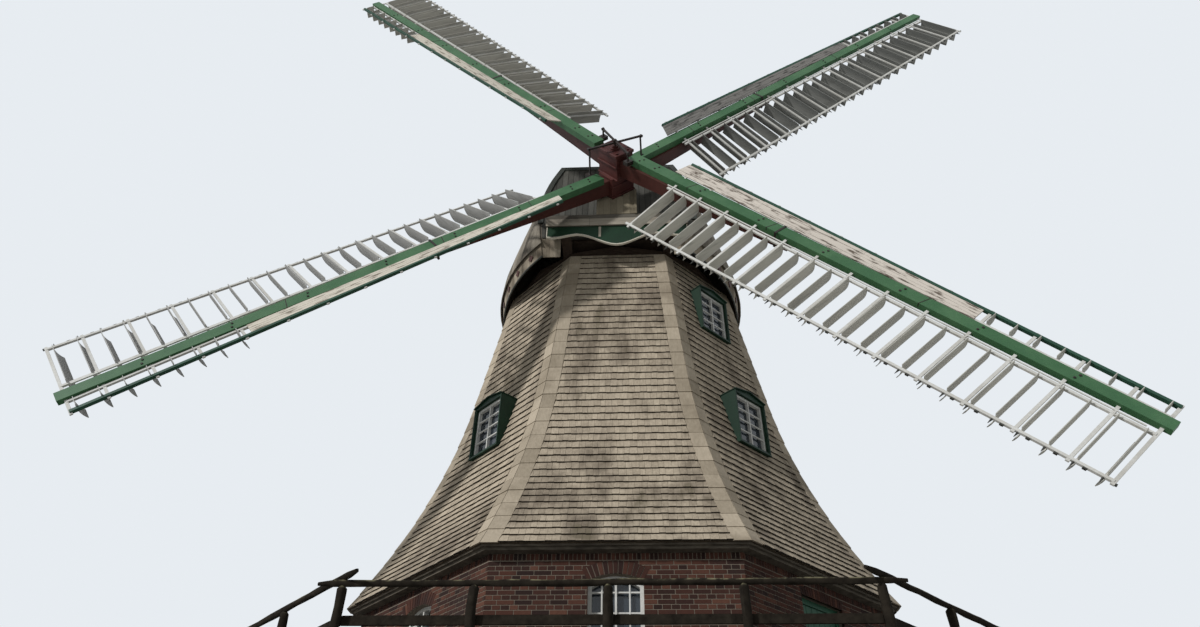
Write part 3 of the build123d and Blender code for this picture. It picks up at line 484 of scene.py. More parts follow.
def voussoirs(half_width, spring, rise, count, height):
    """A fan of bricks on end over an opening, as it lies on the front face."""
    radius = (half_width ** 2 + rise ** 2) / (2 * rise)
    centre = Matrix.Translation((0, 0, spring + rise - radius))
    half_turn = asin(half_width / radius)
    pitch = 2 * half_turn / count
    fan = []
    for index in range(count):
        brick = block("voussoir", (-0.5, -BRICK.y / 2, radius), (0.5, BRICK.y / 2, radius + height))
        reshape(brick, lambda co: Vector((co.x * (co.z * pitch - BED), co.y, co.z)))
        fan.append(moved(brick, centre @ Matrix.Rotation(-half_turn + pitch * (index + 0.5), 4, "Y")))
    return joined(fan, "voussoirs")


def weathered(name, pale, dark, stain, stretch=(1, 1, 0.12), grain=30.0, each=0):
    """Bare wood outdoors: split grain, boards of differing tone, and damp stains."""
    made = Finish(name, roughness=0.88)
    fibre = made.noise(grain, stretch)
    patch = made.noise(0.9)
    share = fibre * 1.1 - 0.3
    if each:
        share = share * (1 - 0.5 * each) + made.island() * each * 0.8
    tone = made.ramp(share, ((0.1, dark), (0.9, pale)))
    return made.done(made.stain(tone, stain, patch, 0.48, 0.68, 0.6), made.bump(fibre, 0.004, 0.6))


def painted(name, tone, faded, under, stretch=(1, 1, 1), roughness=0.5, flaked=0.66):
    """Old oil paint, faded in patches and flaked in small spots down to what is below it."""
    made = Finish(name)
    fade = made.noise(1.6, detail=4.0)
    fleck = made.noise(24.0, stretch, detail=6.0)
    bare = made.between(fleck, flaked, flaked + 0.05)
    colour = made.stain(tone, faded, fade, 0.35, 0.68, 0.75)
    colour = made.stain(colour, under, fleck, 0.25, 0.6, 0.25)
    colour = made.mix(bare * 0.85, colour, under)
    return made.done(colour, made.bump(fleck, 0.0015, 0.5), bare * 0.35 + roughness)


finish = Finish("brick", roughness=0.85)
grain = finish.noise(22.0)
blotch = finish.noise(1.3, detail=3.0)
tone = finish.ramp(finish.island() * 0.8 + grain * 0.25, BRICK_TONES_WITH_PAINTED_SHADE)
tone = finish.stain(tone, SOOT, blotch, 0.52, 0.70, 0.55)
brick_material = finish.done(tone, finish.bump(grain, 0.006, 0.6))

finish = Finish("mortar", roughness=0.95)
sand = finish.noise(60.0, detail=4.0)
tone = finish.mix(finish.noise(2.0, detail=4.0), MORTAR, MORTAR_DARK)
mortar_material = finish.done(tone, finish.bump(sand, 0.004, 0.5))

base_apothem = -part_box("base_wall_front")[0].y
wall_half = base_apothem * TAN_CORNER
wall_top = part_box("skirt_fascia")[0].z
window_plugs = plugs("window_frames")
base_windows = [plug for plug in window_plugs if plug.data.vertices[0].co.z < wall_top]
door_plugs = plugs("doors")

course = BRICK.z + BED
half_depth = BRICK.y / 2
stretcher = block("stretcher", (0, -half_depth, 0), (BRICK.x - BED, half_depth, BRICK.z))
header = block("header", (-BRICK.x / 4, -half_depth, course),
               (BRICK.x / 4 - BED, half_depth, course + BRICK.z))
field = joined([stretcher, repeated(header, 2, BRICK.x / 2, 0, 0)], "bricks")
repeated(field, ceil(2 * wall_half / BRICK.x) + 1, BRICK.x, 0, 0)
repeated(field, ceil(wall_top / course / 2), 0, 0, 2 * course)
moved(field, Matrix.Translation((-wall_half - BRICK.x / 3, 0, 0)))
field_tool = block("field_tool", (-wall_half - 1, -1, -1), (wall_half + 1, 1, STANDING_FOOT - BED))
cut(field, field_tool, "INTERSECT")
standing = block("standing", (0, -half_depth, STANDING_FOOT), (STANDING_WIDTH - BED, half_depth, wall_top))
repeated(standing, ceil(2 * wall_half / STANDING_WIDTH) + 1, STANDING_WIDTH, 0, 0)
moved(standing, Matrix.Translation((-wall_half - BED, 0, 0)))
brick_face = half_depth - base_apothem - BRICK_PROUD
field = moved(joined([field, standing], "bricks"), Matrix.Translation((0, brick_face, 0)))
mitre_tool = corner_wedge(MITRE_GAP, -1, wall_top)
for index, face_name in enumerate(FACE_NAMES):
    wall = copy_of(field, "wall")
    fans = []
    for plug in base_windows + door_plugs:
        if plug["face"] == index:
            place, half, low, spring, top = measured(plug)
            rise = top - spring if top - spring > FLAT_RISE else half ** 2 / (2 * LINTEL_RADIUS)
            height = min(ARCH_HEIGHT, STANDING_FOOT - BED - top) if top > UPPER_STOREY else ARCH_HEIGHT
            count = ARCH_BRICKS if half < WIDE_HALF else WIDE_ARCH_BRICKS
            fan = voussoirs(half, top - rise, rise, count, height)
            moved(fan, Matrix.Translation((0, brick_face - FAN_BACK, 0)))
            room = hull(copy_of(fan, "room"))
            cut(wall, room)
            cut(wall, place)
            cut(fan, place)
            drop(room, place)
            fans.append(fan)
    cut(wall, mitre_tool, "INTERSECT")
    wall = moved(joined([wall] + fans, f"bricks_{face_name}"), Matrix.Rotation(index * FACE_TURN, 4, "Z"))
    dress(wall, brick_material, "tower", "brickwork")
    finish_nodes(mortar_material, f"base_wall_{face_name}")
drop(field, field_tool, mitre_tool)

# Windows of the base. White painted oak frames with low arched heads stand in the brickwork, each
# divided by thin glazing bars into four columns. Sloping sills of bricks on edge carry them.
BAR_COLUMNS = (-0.20, 0.20)
BAR_ROWS = (0.20, 0.49, 0.78, 1.07)
BAR_THICK = 0.024
BAR_DEEP = 0.034
BAR_FRONT = 0.13 - base_apothem
BAR_LAP = 0.004
SASH_RIM = 0.05
SILL_BRICK = (0.062, 0.16, 0.07)
SILL_PROUD = 0.045
SILL_SLOPE = 0.12
WHITE_PAINT = (0.72, 0.72, 0.69)
WHITE_FADED = (0.56, 0.55, 0.51)
BARE_WOOD = (0.30, 0.26, 0.21)
GLASS_DARK = (0.030, 0.040, 0.052)
GLASS_PALE = (0.060, 0.075, 0.090)

white_material = painted("window_white", WHITE_PAINT, WHITE_FADED, BARE_WOOD, flaked=0.70)
finish_nodes(white_material, "window_frames")
finish = Finish("window_glass", roughness=0.06, shine=0.5)
finish.shader["Transmission Weight"].default_value = 0.35
glass_wave = finish.noise(3.0, detail=4.0)
tone = finish.mix(glass_wave, GLASS_DARK, GLASS_PALE)
finish_nodes(finish.done(tone, finish.bump(glass_wave, 0.002, 0.25)), "window_glass")

bars = []
sills = []
for plug in base_windows:
    place, half, low, spring, top = measured(plug)
    turned = Matrix.Rotation(plug["turn"], 4, "Z")
    for x in BAR_COLUMNS:
        crown = top - (top - spring) * (x / half) ** 2 - SASH_RIM
        bars.append(moved(block("bar", (x - BAR_THICK / 2, BAR_FRONT, low + SASH_RIM),
                                (x + BAR_THICK / 2, BAR_FRONT + BAR_DEEP, crown)), turned))
    for row in BAR_ROWS:
        bars.append(moved(block("bar", (SASH_RIM - half, BAR_FRONT + BAR_LAP, low + row - BAR_THICK / 2),
                                (half - SASH_RIM, BAR_FRONT + BAR_DEEP - BAR_LAP, low + row + BAR_THICK / 2)),
                          turned))
    sill = block("sill", (0, 0, 0), (SILL_BRICK[0] - BED, SILL_BRICK[1], SILL_BRICK[2]))
    repeated(sill, round(2 * half / SILL_BRICK[0]), SILL_BRICK[0], 0, 0)
    corner = Vector((BED / 2 - half, -base_apothem - SILL_PROUD, low - BED - SILL_BRICK[2]))
    reshape(sill, lambda co: co + corner + Vector((0, 0, SILL_SLOPE * co.y)))
    sills.append(moved(sill, turned))
    drop(place)
dress(bevelled(joined(bars, "glazing_bars"), 0.004), white_material, "tower", "window_paint")
dress(joined(sills, "window_sills"), brick_material, "tower", "brickwork")

# Doors of the base. Leaves of upright green boards hang in green frames on two black iron strap
# hinges, with a ring handle, one door above the other on two sides.
DOOR_EDGE = 0.085
DOOR_BOARDS = 6
BOARD_GAP = 0.003
BOARD_FOOT = 0.015
BOARD_HEAD = 0.004
DOOR_BACK = 0.125 - base_apothem
DOOR_FRONT = DOOR_BACK - 0.018
STRAP = Vector((0.62, 0.008, 0.045))
STRAP_INSET = 0.35
RING_INSET = 0.10
RING_HEIGHT = 1.02
RING_RADIUS = 0.045
RING_THICK = 0.007
RING_OUT = 0.02
PLATE_FOOT = 0.94
PLATE = Vector((0.06, 0.006, 0.18))
GREEN_PAINT = (0.018, 0.085, 0.045)
GREEN_FADED = (0.040, 0.130, 0.075)
GREEN_UNDER = (0.020, 0.036, 0.026)
IRON_TONE = (0.012, 0.012, 0.013)
IRON_FADED = (0.030, 0.029, 0.028)
IRON_RUST = (0.070, 0.036, 0.020)

door_material = painted("door_green", GREEN_PAINT, GREEN_FADED, GREEN_UNDER, stretch=(1, 1, 0.3))
iron_material = painted("black_iron", IRON_TONE, IRON_FADED, IRON_RUST, roughness=0.45)
finish_nodes(door_material, "doors")
leaves = []
straps = []
for plug in door_plugs:
    place, half, low, spring, top = measured(plug)
    half -= DOOR_EDGE
    top -= DOOR_EDGE
    width = 2 * half / DOOR_BOARDS
    leaf = block("leaf", (BOARD_GAP - half, DOOR_FRONT, low + BOARD_FOOT),
                 (width - BOARD_GAP - half, DOOR_BACK, top - BOARD_HEAD))
    leaf = bevelled(repeated(leaf, DOOR_BOARDS, width, 0, 0), 0.006)
    iron = []
    for height in (low + STRAP_INSET, top - STRAP_INSET):
        strap = block("strap", (0, -STRAP.y, -STRAP.z / 2), (STRAP.x, 0, STRAP.z / 2))
        iron.append(reshape(strap, lambda co: Vector((
            co.x - half, co.y + DOOR_FRONT, co.z * (0.5 if co.x > STRAP.x / 2 else 1) + height))))
    ring_x = half - RING_INSET
    bpy.ops.mesh.primitive_torus_add(location=(ring_x, DOOR_FRONT - RING_OUT, low + RING_HEIGHT),
                                     rotation=(pi / 2, 0, 0), major_radius=RING_RADIUS,
                                     minor_radius=RING_THICK, major_segments=20, minor_segments=8)
    iron.append(settle(added("ring")))
    plate_low = Vector((ring_x - PLATE.x / 2, DOOR_FRONT - PLATE.y, low + PLATE_FOOT))
    iron.append(block("plate", plate_low, plate_low + PLATE))
    turned = Matrix.Rotation(plug["turn"], 4, "Z")
    leaves.append(moved(leaf, turned))
    straps += [moved(piece, turned) for piece in iron]
    drop(place)
dress(joined(leaves, "door_boards"), door_material, "tower", "door_paint")
dress(bevelled(joined(straps, "door_irons"), 0.002), iron_material, "tower", "door_paint")
drop(*window_plugs, *door_plugs)

# Shingles of the smock. Split wooden shingles hang in lapped rows on each curved side, closer
# together at the flared foot, and are cut at the corner boards and round the window casings.
ROW_FOOT = 0.157
ROW_PITCH = 0.181
FOOT_LENGTH = 1.5
SHINGLE_WIDTHS = (0.112, 0.095, 0.128, 0.104, 0.120, 0.088, 0.115)
SHINGLE_GAP = 0.003
SHINGLE_LAP = 0.05
SHINGLE_BUTT = 0.022
SHINGLE_TIP = 0.004
SHINGLE_LIFT = 0.011
BUTT_STEP = 0.003
ROW_STAGGER = 0.006
ROW_OVERRUN = 2.4
CORNER_BOARD = 0.25
CORNER_GAP = 0.014
SHINGLE_TONES = ((0.0, (0.170, 0.138, 0.100)), (0.35, (0.330, 0.275, 0.205)),
                 (0.75, (0.480, 0.405, 0.305)), (1.0, (0.600, 0.515, 0.400)))
MOSS = (0.120, 0.105, 0.060)
DAMP = (0.118, 0.093, 0.070)
BUTT_PAINTED_SHADE = (0.035, 0.028, 0.021)
BOARDING_TONES = ((0.16, 0.12, 0.08), (0.08, 0.06, 0.04), (0.05, 0.04, 0.03))

random.seed(7)
smock_mesh = nodes["smock_side_front"].data
side_profile = {}
for polygon in smock_mesh.polygons:
    if polygon.normal.y < -0.5:
        for corner in polygon.vertices:
            co = smock_mesh.vertices[corner].co
            if abs(abs(co.x) + co.y * TAN_CORNER) < 0.002:
                side_profile[round(co.z, 3)] = -co.y
profile = sorted(side_profile.items())
smock_length = sum(hypot(z1 - z0, a1 - a0) for (z0, a0), (z1, a1) in zip(profile, profile[1:]))


def smock_place(length):
    """Height, distance from the axis and lean of the smock's face, this far up from its foot."""
    for (z0, a0), (z1, a1) in zip(profile, profile[1:]):
        step = hypot(z1 - z0, a1 - a0)
        if length <= step or z1 == profile[-1][0]:
            return blend(z0, z1, length / step), blend(a0, a1, length / step), atan2(a0 - a1, z1 - z0)
        length -= step


def shingle_row(pitch):
    """One row of shingles, wider than any side, with its butts at height zero."""
    row = []
    start = 0.0
    for index, width in enumerate(SHINGLE_WIDTHS):
        butt = SHINGLE_BUTT + BUTT_STEP * (index % 3)
        piece = block("shingle", (start, -1, ROW_STAGGER * sin(index * 2.1)),
                      (start + width - SHINGLE_GAP, 0, pitch + SHINGLE_LAP))
        row.append(reshape(piece, lambda co: Vector((
            co.x, co.y * butt - SHINGLE_LIFT if co.z < pitch / 2 else co.y * SHINGLE_TIP, co.z))))
        start += width
    return repeated(joined(row, "row"), ceil(2 * wall_half / start) + 2, start, 0, 0)


rows = {pitch: shingle_row(pitch) for pitch in (ROW_FOOT, ROW_PITCH)}
side_tool = corner_wedge(CORNER_BOARD + CORNER_GAP, profile[0][0] - 0.1, profile[-1][0])
smock_rows = []
row_lengths = []
length = 0.0
while length < smock_length:
    pitch = ROW_FOOT if length < FOOT_LENGTH else ROW_PITCH
    z, apothem, lean = smock_place(length)
    slide = -ROW_OVERRUN - random.random() * sum(SHINGLE_WIDTHS)
    row = moved(copy_of(rows[pitch], "row"),
                Matrix.Translation((slide, -apothem, z)) @ Matrix.Rotation(-lean, 4, "X"))
    smock_rows.append(cut(row, side_tool, "INTERSECT"))
    row_lengths.append(length)
    length += pitch

finish = Finish("shingles", roughness=0.9)
split = finish.noise(30.0, (1, 1, 0.12))
patch = finish.noise(0.55, detail=6.0)
streak = finish.noise(2.2, (1, 1, 0.25))
tone = finish.ramp(finish.island() * 0.26 + split * 0.95 - 0.08, SHINGLE_TONES)
tone = finish.stain(tone, DAMP, patch * 0.5 + streak * 0.5, 0.46, 0.64, 0.8)
tone = finish.stain(tone, MOSS, streak, 0.58, 0.74, 0.5)
# Painted shade: faces that turn down, the shingles' butts seen from below, are darkened to give shadow lines
# under the rows.
downward = finish.axis(finish.geometry("Normal"), 2) * -1
tone = finish.mix(finish.between(downward, 0.35, 0.60), tone, BUTT_PAINTED_SHADE)
shingle_material = finish.done(tone, finish.bump(split, 0.006, 0.7))
smock_material = weathered("smock_boarding", *BOARDING_TONES)

casings = plugs("window_casings")
for index, face_name in enumerate(FACE_NAMES):
    tools = [measured(plug) for plug in casings if plug["face"] == index]
    courses = []
    for row in smock_rows:
        course = copy_of(row, "course")
        heights = [vertex.co.z for vertex in course.data.vertices]
        for place, half, low, eave, peak in tools:
            if max(heights) > low and min(heights) < peak:
                cut(course, place)
        courses.append(course)
    side = moved(joined(courses, f"shingles_{face_name}"), Matrix.Rotation(index * FACE_TURN, 4, "Z"))
    dress(side, shingle_material, "tower", "smock_boards")
    finish_nodes(smock_material, f"smock_side_{face_name}")
    drop(*[tool[0] for tool in tools])
drop(side_tool, *rows.values(), *smock_rows)

# Corner boards of the smock. Pale boards two rows long lap each other up both sides of every
# corner, nailed over the ends of the shingles and mitred to their neighbours.
CORNER_BUTT = 0.030
CORNER_TIP = 0.019
CORNER_LAP = 0.03
CORNER_MITRE = 0.005
CORNER_PALE = (0.50, 0.425, 0.325)
CORNER_DARK = (0.27, 0.225, 0.165)
CORNER_STAIN = (0.20, 0.162, 0.115)

board_master = slab("board")
corner_boards = []
for lower, upper in zip(row_lengths[::2], row_lengths[2::2] + [smock_length]):
    z0, a0 = smock_place(lower)[:2]
    z1, a1 = smock_place(min(upper + CORNER_LAP, smock_length))[:2]
    warp = random.uniform(-UNEVEN, UNEVEN)
    for side in (-1, 1):
        def corner_place(along, across, through):
            apothem = blend(a0, a1, along)
            thick = blend(CORNER_BUTT + warp, CORNER_TIP + warp, along) * through
            edge = (apothem + thick) * TAN_CORNER - CORNER_MITRE
            return side * (edge - (CORNER_BOARD + warp) * across), -apothem - thick, blend(z0, z1, along)
        corner_boards.append(shaped(board_master, corner_place))
corner_material = weathered("corner_boards", CORNER_PALE, CORNER_DARK, CORNER_STAIN, each=0.6)
dress(outward_faces(all_round(joined(corner_boards, "corner"), "corner_boards")), corner_material,
      "tower", "corner_boards", "hip_boards")

# Smock windows. White sashes of two by four panes stand in dark green boxes that come square out
# of the sloping side, under a hood of two low pitched boards.
HOOD_EAVE = 0.016
HOOD_THICK = 0.016
HOOD_OUT = 0.04
HOOD_DEPTH = 0.5
HOOD_RAISED = 0.002
TRIM_WIDTH = 0.022
SILL_LAP = 0.008
SASH_BACK = 0.062
SASH_EDGE = 0.095
PANE_ROWS = 4
# Part of the casing greens' darkness is painted shade: they are set darker than the green paint, to the
# casings' look in shade.
CASING_TONE_WITH_PAINTED_SHADE = (0.005, 0.024, 0.012)
CASING_FADED = (0.009, 0.038, 0.019)
CASING_UNDER = (0.012, 0.018, 0.014)

casing_material = painted("casing_green", CASING_TONE_WITH_PAINTED_SHADE, CASING_FADED, CASING_UNDER, stretch=(1, 1, 0.3))
finish_nodes(casing_material, "window_casings")
hoods = []
sash_bars = []
for plug in casings:
    place, half, low, eave, peak = measured(plug)
    front = min(vertex.co.y for vertex in place.data.vertices) + PLUG_REACH
    slope = (peak - eave) / half
    turned = Matrix.Rotation(plug["turn"], 4, "Z")
    made = [block("trim", (-half - SILL_LAP, front - 0.02, low - 0.014),
                  (half + SILL_LAP, front + 0.03, low + 0.010))]
    for side in (-1, 1):
        def hood_place(along, across, through):
            x = along * (half + HOOD_EAVE)
            return side * x, front - HOOD_OUT + across * HOOD_DEPTH, (
                peak - slope * x + HOOD_RAISED + through * HOOD_THICK)
        made.append(shaped(board_master, hood_place))
        edges = sorted((side * half, side * (half - TRIM_WIDTH)))
        made.append(block("trim", (edges[0], front - 0.012, low), (edges[1], front + 0.01, eave)))
    hoods += [moved(piece, turned) for piece in made]
    for row in range(1, PANE_ROWS):
        z = blend(low + SASH_EDGE, eave - SASH_EDGE, row / PANE_ROWS)
        bar = block("bar", (SASH_EDGE - half, front + SASH_BACK, z - BAR_THICK / 2),
                    (half - SASH_EDGE, front + SASH_BACK + BAR_DEEP, z + BAR_THICK / 2))
        sash_bars.append(moved(bar, turned))
    drop(place)
dress(outward_faces(joined(hoods, "casing_hoods")), casing_material, "tower", "casing_paint")
dress(bevelled(joined(sash_bars, "sash_bars"), 0.003), white_material, "tower", "window_paint")
drop(*casings)

# Fascia and floors. Two narrow weathered boards close the gap below the flared foot, and worn
# boards cover the floors inside.
FASCIA_TONES = ((0.3, (0.060, 0.050, 0.038)), (0.7, (0.165, 0.142, 0.110)))
FASCIA_GRIME = (0.040, 0.033, 0.025)
FLOOR_PLANK = 0.21
FLOOR_SEAM = 0.006
FLOOR_TONES = ((0.3, (0.11, 0.080, 0.052)), (0.7, (0.24, 0.180, 0.120)))
SEAM_TONE = (0.02, 0.015, 0.010)

finish = Finish("fascia", roughness=0.9)
fibre = finish.noise(24.0, (0.2, 0.2, 1.0))
tone = finish.stain(finish.ramp(fibre, FASCIA_TONES), FASCIA_GRIME, finish.noise(1.1), 0.5, 0.7, 0.6)
finish_nodes(finish.done(tone, finish.bump(fibre, 0.004, 0.6)), "skirt_fascia")
finish = Finish("floor_planks", roughness=0.8)
fibre = finish.noise(20.0, (0.15, 1, 1))
seam = finish.between(finish.axis(finish.place(), 1) % FLOOR_PLANK, 0.0, FLOOR_SEAM)
tone = finish.mix(seam, SEAM_TONE, finish.ramp(fibre, FLOOR_TONES))
finish_nodes(finish.done(tone, finish.bump(fibre * 0.3 + seam, 0.004, 0.7)), "floors")

# Gallery floor. Planks run out from the wall over ring joists, which rest on cantilevered beams
# with slanting struts and wall posts. All of it is grey weathered oak, bolted at the joints.
PLANK_WIDTH = 0.185
PLANK_GAP = 0.006
PLANK_SAG = 0.003
PLANK_WAVE = 0.0015
DECK_LOW, DECK_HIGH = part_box("gallery_deck")
BOLT_RADIUS = 0.022
BOLT_DEPTH = 0.018
BEAM_HALF = 0.077
BEAM_LINES = ((-1.15, 0, base_apothem), (1.15, 0, base_apothem), (0, pi / 8, base_apothem / cos(pi / 8)))
BEAM_BOLTS = ((0.07, -0.15), (0.07, -1.7), (2.2, -0.1), (1.15, -0.1))
GREY_OAK = (0.150, 0.135, 0.108)
GREY_OAK_DARK = (0.050, 0.044, 0.035)
OAK_STAIN = (0.030, 0.027, 0.021)

oak_tones = (GREY_OAK, GREY_OAK_DARK, OAK_STAIN)
finish_nodes(weathered("grey_oak", *oak_tones, stretch=(0.3, 0.3, 0.3)), "gallery_joists", "gallery_brackets")
plank_material = weathered("gallery_planks", *oak_tones, stretch=(0.4, 0.4, 1), each=0.6)
deck_apothem = DECK_HIGH.x
half_count = int(deck_apothem * TAN_CORNER / PLANK_WIDTH) + 1
plank = slab("plank", 10)
planks = []
for index in range(-half_count, half_count):
    sag = random.uniform(0, PLANK_SAG)

    def plank_place(along, across, through):
        wave = PLANK_WAVE * sin(along * 9 + index)
        return ((index + across) * PLANK_WIDTH + (0.5 - across) * PLANK_GAP,
                -blend(base_apothem, deck_apothem, along) - 0.002,
                DECK_LOW.z + through * (DECK_HIGH.z - DECK_LOW.z - sag + wave))
    planks.append(shaped(plank, plank_place))
section = outward_faces(joined(planks, "planks"))
deck_tool = corner_wedge(0.004, DECK_LOW.z - 1, DECK_HIGH.z + 1)
cut(section, deck_tool, "INTERSECT")
dress(all_round(section, "gallery_planks"), plank_material, "tower", "gallery_timber", "gallery_deck")
drop(deck_tool, plank)

beam_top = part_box("gallery_brackets")[1].z
bolt_master = bevelled(rod("bolt", 6, BOLT_RADIUS, BOLT_DEPTH), 0.003)
bolts = []
for offset, lean, foot in BEAM_LINES:
    for reach, height in BEAM_BOLTS:
        for side in (-BEAM_HALF, BEAM_HALF):
            spot = Matrix.Translation((offset + side, -foot - reach, beam_top + height))
            bolts.append(moved(copy_of(bolt_master, "bolt"),
                               Matrix.Rotation(lean, 4, "Z") @ spot @ Matrix.Rotation(pi / 2, 4, "Y")))
dress(all_round(joined(bolts, "bolts"), "gallery_bolts"), iron_material, "tower", "gallery_timber")

# Gallery railing. Rough poles lie over rough posts and cross at the corners, past which their
# rounded ends run on. A dark board is nailed inside the posts lower down. Lichen grows on top.
POLE_ROUGH = 0.005
POLE_SIDES = 14
POLE_CUTS = 36
RAIL_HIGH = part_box("gallery_rails")[1]
RAIL_APOTHEM = 7.08
RAIL_OVERRUN = 0.28
POLE_RADIUS = 0.038
POLE_BLUNT = 0.05
POST_RADIUS = 0.055
POST_BLUNT = 0.02
POST_SINK = 0.7
BAYS = 4
BOARD_OUT = 0.035
RAIL_BOARD_FOOT = 0.615
RAIL_BOARD_HEIGHT = 0.1
POLE_DARK = (0.009, 0.007, 0.005)
POLE_GREY = (0.027, 0.022, 0.016)
LICHEN = (0.230, 0.210, 0.125)

finish = Finish("rail_poles", roughness=0.92, shine=0.08)
bark = finish.noise(26.0, (0.35, 0.35, 0.35), detail=6.0)
knots = finish.noise(3.5, detail=4.0)
upward = finish.axis(finish.geometry("Normal"), 2)
lichen = finish.between(upward, 0.2, 0.9) * finish.between(bark * 0.5 + knots * 0.5, 0.46, 0.58)
tone = finish.mix(lichen * 0.85, finish.ramp(bark, ((0.3, POLE_DARK), (0.7, POLE_GREY))), LICHEN)
pole_material = finish.done(tone, finish.bump(bark, 0.008, 0.8))

round_master = rod("pole", POLE_SIDES, 1, 1, ends="TRIFAN")
for height in range(1, POLE_CUTS):
    edited(round_master, bpy.ops.mesh.bisect, plane_co=(0, 0, height / POLE_CUTS - 0.5), plane_no=(0, 0, 1))


def rough_pole(start, end, radius, seed, blunt):
    """A round pole between two points, uneven along its length, with its ends worn round."""
    reach = end - start
    length = reach.length

    def pole_place(co):
        ends = min((0.5 - abs(co.z)) * length / blunt, 1)
        narrow = 0.55 + 0.45 * sqrt(max(0.0, 1 - (1 - ends) ** 2))
        uneven = 1 + noise.noise(Vector((co.x, co.y, co.z * length * 2.5 + seed))) * POLE_ROUGH / radius * 3
        bend = noise.noise(Vector((seed, 3.1, co.z * 2))) * 0.01
        size = radius * narrow * uneven * 0.96
        return Vector((co.x * size + bend, co.y * size, co.z * length))
    pole = reshape(copy_of(round_master, "pole"), pole_place)
    aim = reach.to_track_quat("Z", "Y").to_matrix().to_4x4()
    return moved(pole, Matrix.Translation((start + end) / 2) @ aim)


half_side = RAIL_APOTHEM * TAN_CORNER
pole_reach = half_side + RAIL_OVERRUN
rail_z = RAIL_HIGH.z - 3 * POLE_RADIUS
board_apothem = RAIL_APOTHEM - POST_RADIUS
board_reach = (board_apothem - BOARD_OUT) * TAN_CORNER - 0.004
rail_slab = slab("rail_board", 24)
poles = []
for index in range(len(FACE_NAMES)):
    turned = Matrix.Rotation(index * FACE_TURN, 3, "Z")
    height = rail_z + (2 * POLE_RADIUS if index % 2 else 0)
    ends = [turned @ Vector((x, -RAIL_APOTHEM, height)) for x in (-pole_reach, pole_reach)]
    poles.append(rough_pole(*ends, POLE_RADIUS, index * 7.3, POLE_BLUNT))
    for bay in range(BAYS):
        along = 2 * half_side * (bay / BAYS - 0.5)
        top = (rail_z if bay == 0 else height) - POLE_RADIUS * POST_SINK
        ends = [turned @ Vector((along, -RAIL_APOTHEM, z)) for z in (DECK_HIGH.z, top)]
        poles.append(rough_pole(*ends, POST_RADIUS, index * 5.1 + bay, POST_BLUNT))

    def rail_board_place(x, y, z):
        wave = 0.004 * noise.noise(Vector((x * 8, index, y)))
        return turned @ Vector(((2 * x - 1) * board_reach, BOARD_OUT * y - board_apothem + wave,
                                DECK_HIGH.z + RAIL_BOARD_FOOT + RAIL_BOARD_HEIGHT * z + wave))
    poles.append(shaped(rail_slab, rail_board_place))
railing = alone(outward_faces(joined(poles, "railing")))
bpy.ops.object.shade_smooth_by_angle(angle=radians(50))
dress(railing, pole_material, "tower", "gallery_timber", "gallery_rails", "gallery_posts")
drop(round_master, rail_slab)

# Curb, cap ring and beams. Rough oak carries the cap: a curb on the smock's top, the ring that
# turns on it, two sheers across the ring, and the beams under the windshaft. It is tarred dark.
TARRED = (0.045, 0.030, 0.022)
TARRED_PALE = (0.105, 0.075, 0.052)
TARRED_STAIN = (0.030, 0.022, 0.018)
SHAFT_OAK = (0.19, 0.125, 0.080)

finish_nodes(weathered("cap_oak", TARRED_PALE, TARRED, TARRED_STAIN, stretch=(0.3, 0.3, 1)),
             "curb", "cap_ring", "cap_beams")
finish_nodes(weathered("shaft_oak", SHAFT_OAK, TARRED, TARRED, stretch=(1, 0.15, 1)), "windshaft")

# Cap. Thin weathered boards are bent up both curved flanks from the boat-shaped rim to the
# shoulder, and lie down the hipped top. They overlap the leaning gables by a finger's width, and
# at the eaves they run down over the petticoat.
RIM_Z = 14.18
RIM_HALF_WIDTH = 2.98
RIM_END_HALF_WIDTH = 1.60
RIM_HALF_LENGTH = 3.05
SHOULDER_Z = 17.15
SHOULDER_X = 1.40
RIDGE_Z = 17.85
RIDGE_HALF_LENGTH = 1.25
RIDGE_HALF = 0.06
RIDGE_OVERRUN = 0.05
RIDGE_THICK = 0.022
FLANK_BULGE = 0.13
GABLE_AXIAL = 2.671
GABLE_OVERHANG = 0.022
SHAFT_TILT = radians(10.4)
HUB_FRONT = 4.0
HUB_Z = 15.893
CAP_BOARD = 0.125
CAP_BOARD_THICK = 0.017
CAP_BOARD_VARY = 0.15
CAP_BOARD_SINK = 0.006
ROOF_THICK = 0.018
ROOF_LAP = 0.02
ROOF_SINK = 0.01
FLANK_GAP = 0.004
ROOF_GAP = 0.002
EAVES_DROP = 0.20
CAP_PALE = (0.320, 0.285, 0.230)
CAP_DARK = (0.110, 0.094, 0.073)
CAP_STAIN = (0.060, 0.050, 0.038)

shaft_line_z = HUB_Z - HUB_FRONT * tan(SHAFT_TILT)
rim_spread = RIM_HALF_WIDTH - RIM_END_HALF_WIDTH
rim_radius = (rim_spread ** 2 + RIM_HALF_LENGTH ** 2) / (2 * rim_spread)
rim_centre = RIM_HALF_WIDTH - rim_radius
shaft = Vector((0, -cos(SHAFT_TILT), sin(SHAFT_TILT)))
up_the_sweep = Vector((0, sin(SHAFT_TILT), cos(SHAFT_TILT)))


def gable_y(z):
    """How far the leaning gables' faces stand from the tower's axis at this height."""
    return (GABLE_AXIAL - (z - shaft_line_z) * sin(SHAFT_TILT)) / cos(SHAFT_TILT)


def flank_x(y, z):
    """Half width of the cap along its length, from the rim up to the shoulder."""
    foot = sqrt(rim_radius ** 2 - y ** 2) + rim_centre
    rise = min(1, max(0, (z - RIM_Z) / (SHOULDER_Z - RIM_Z)))
    return blend(foot, SHOULDER_X, rise) + FLANK_BULGE * (foot - SHOULDER_X) * (1 - (2 * rise - 1) ** 2)


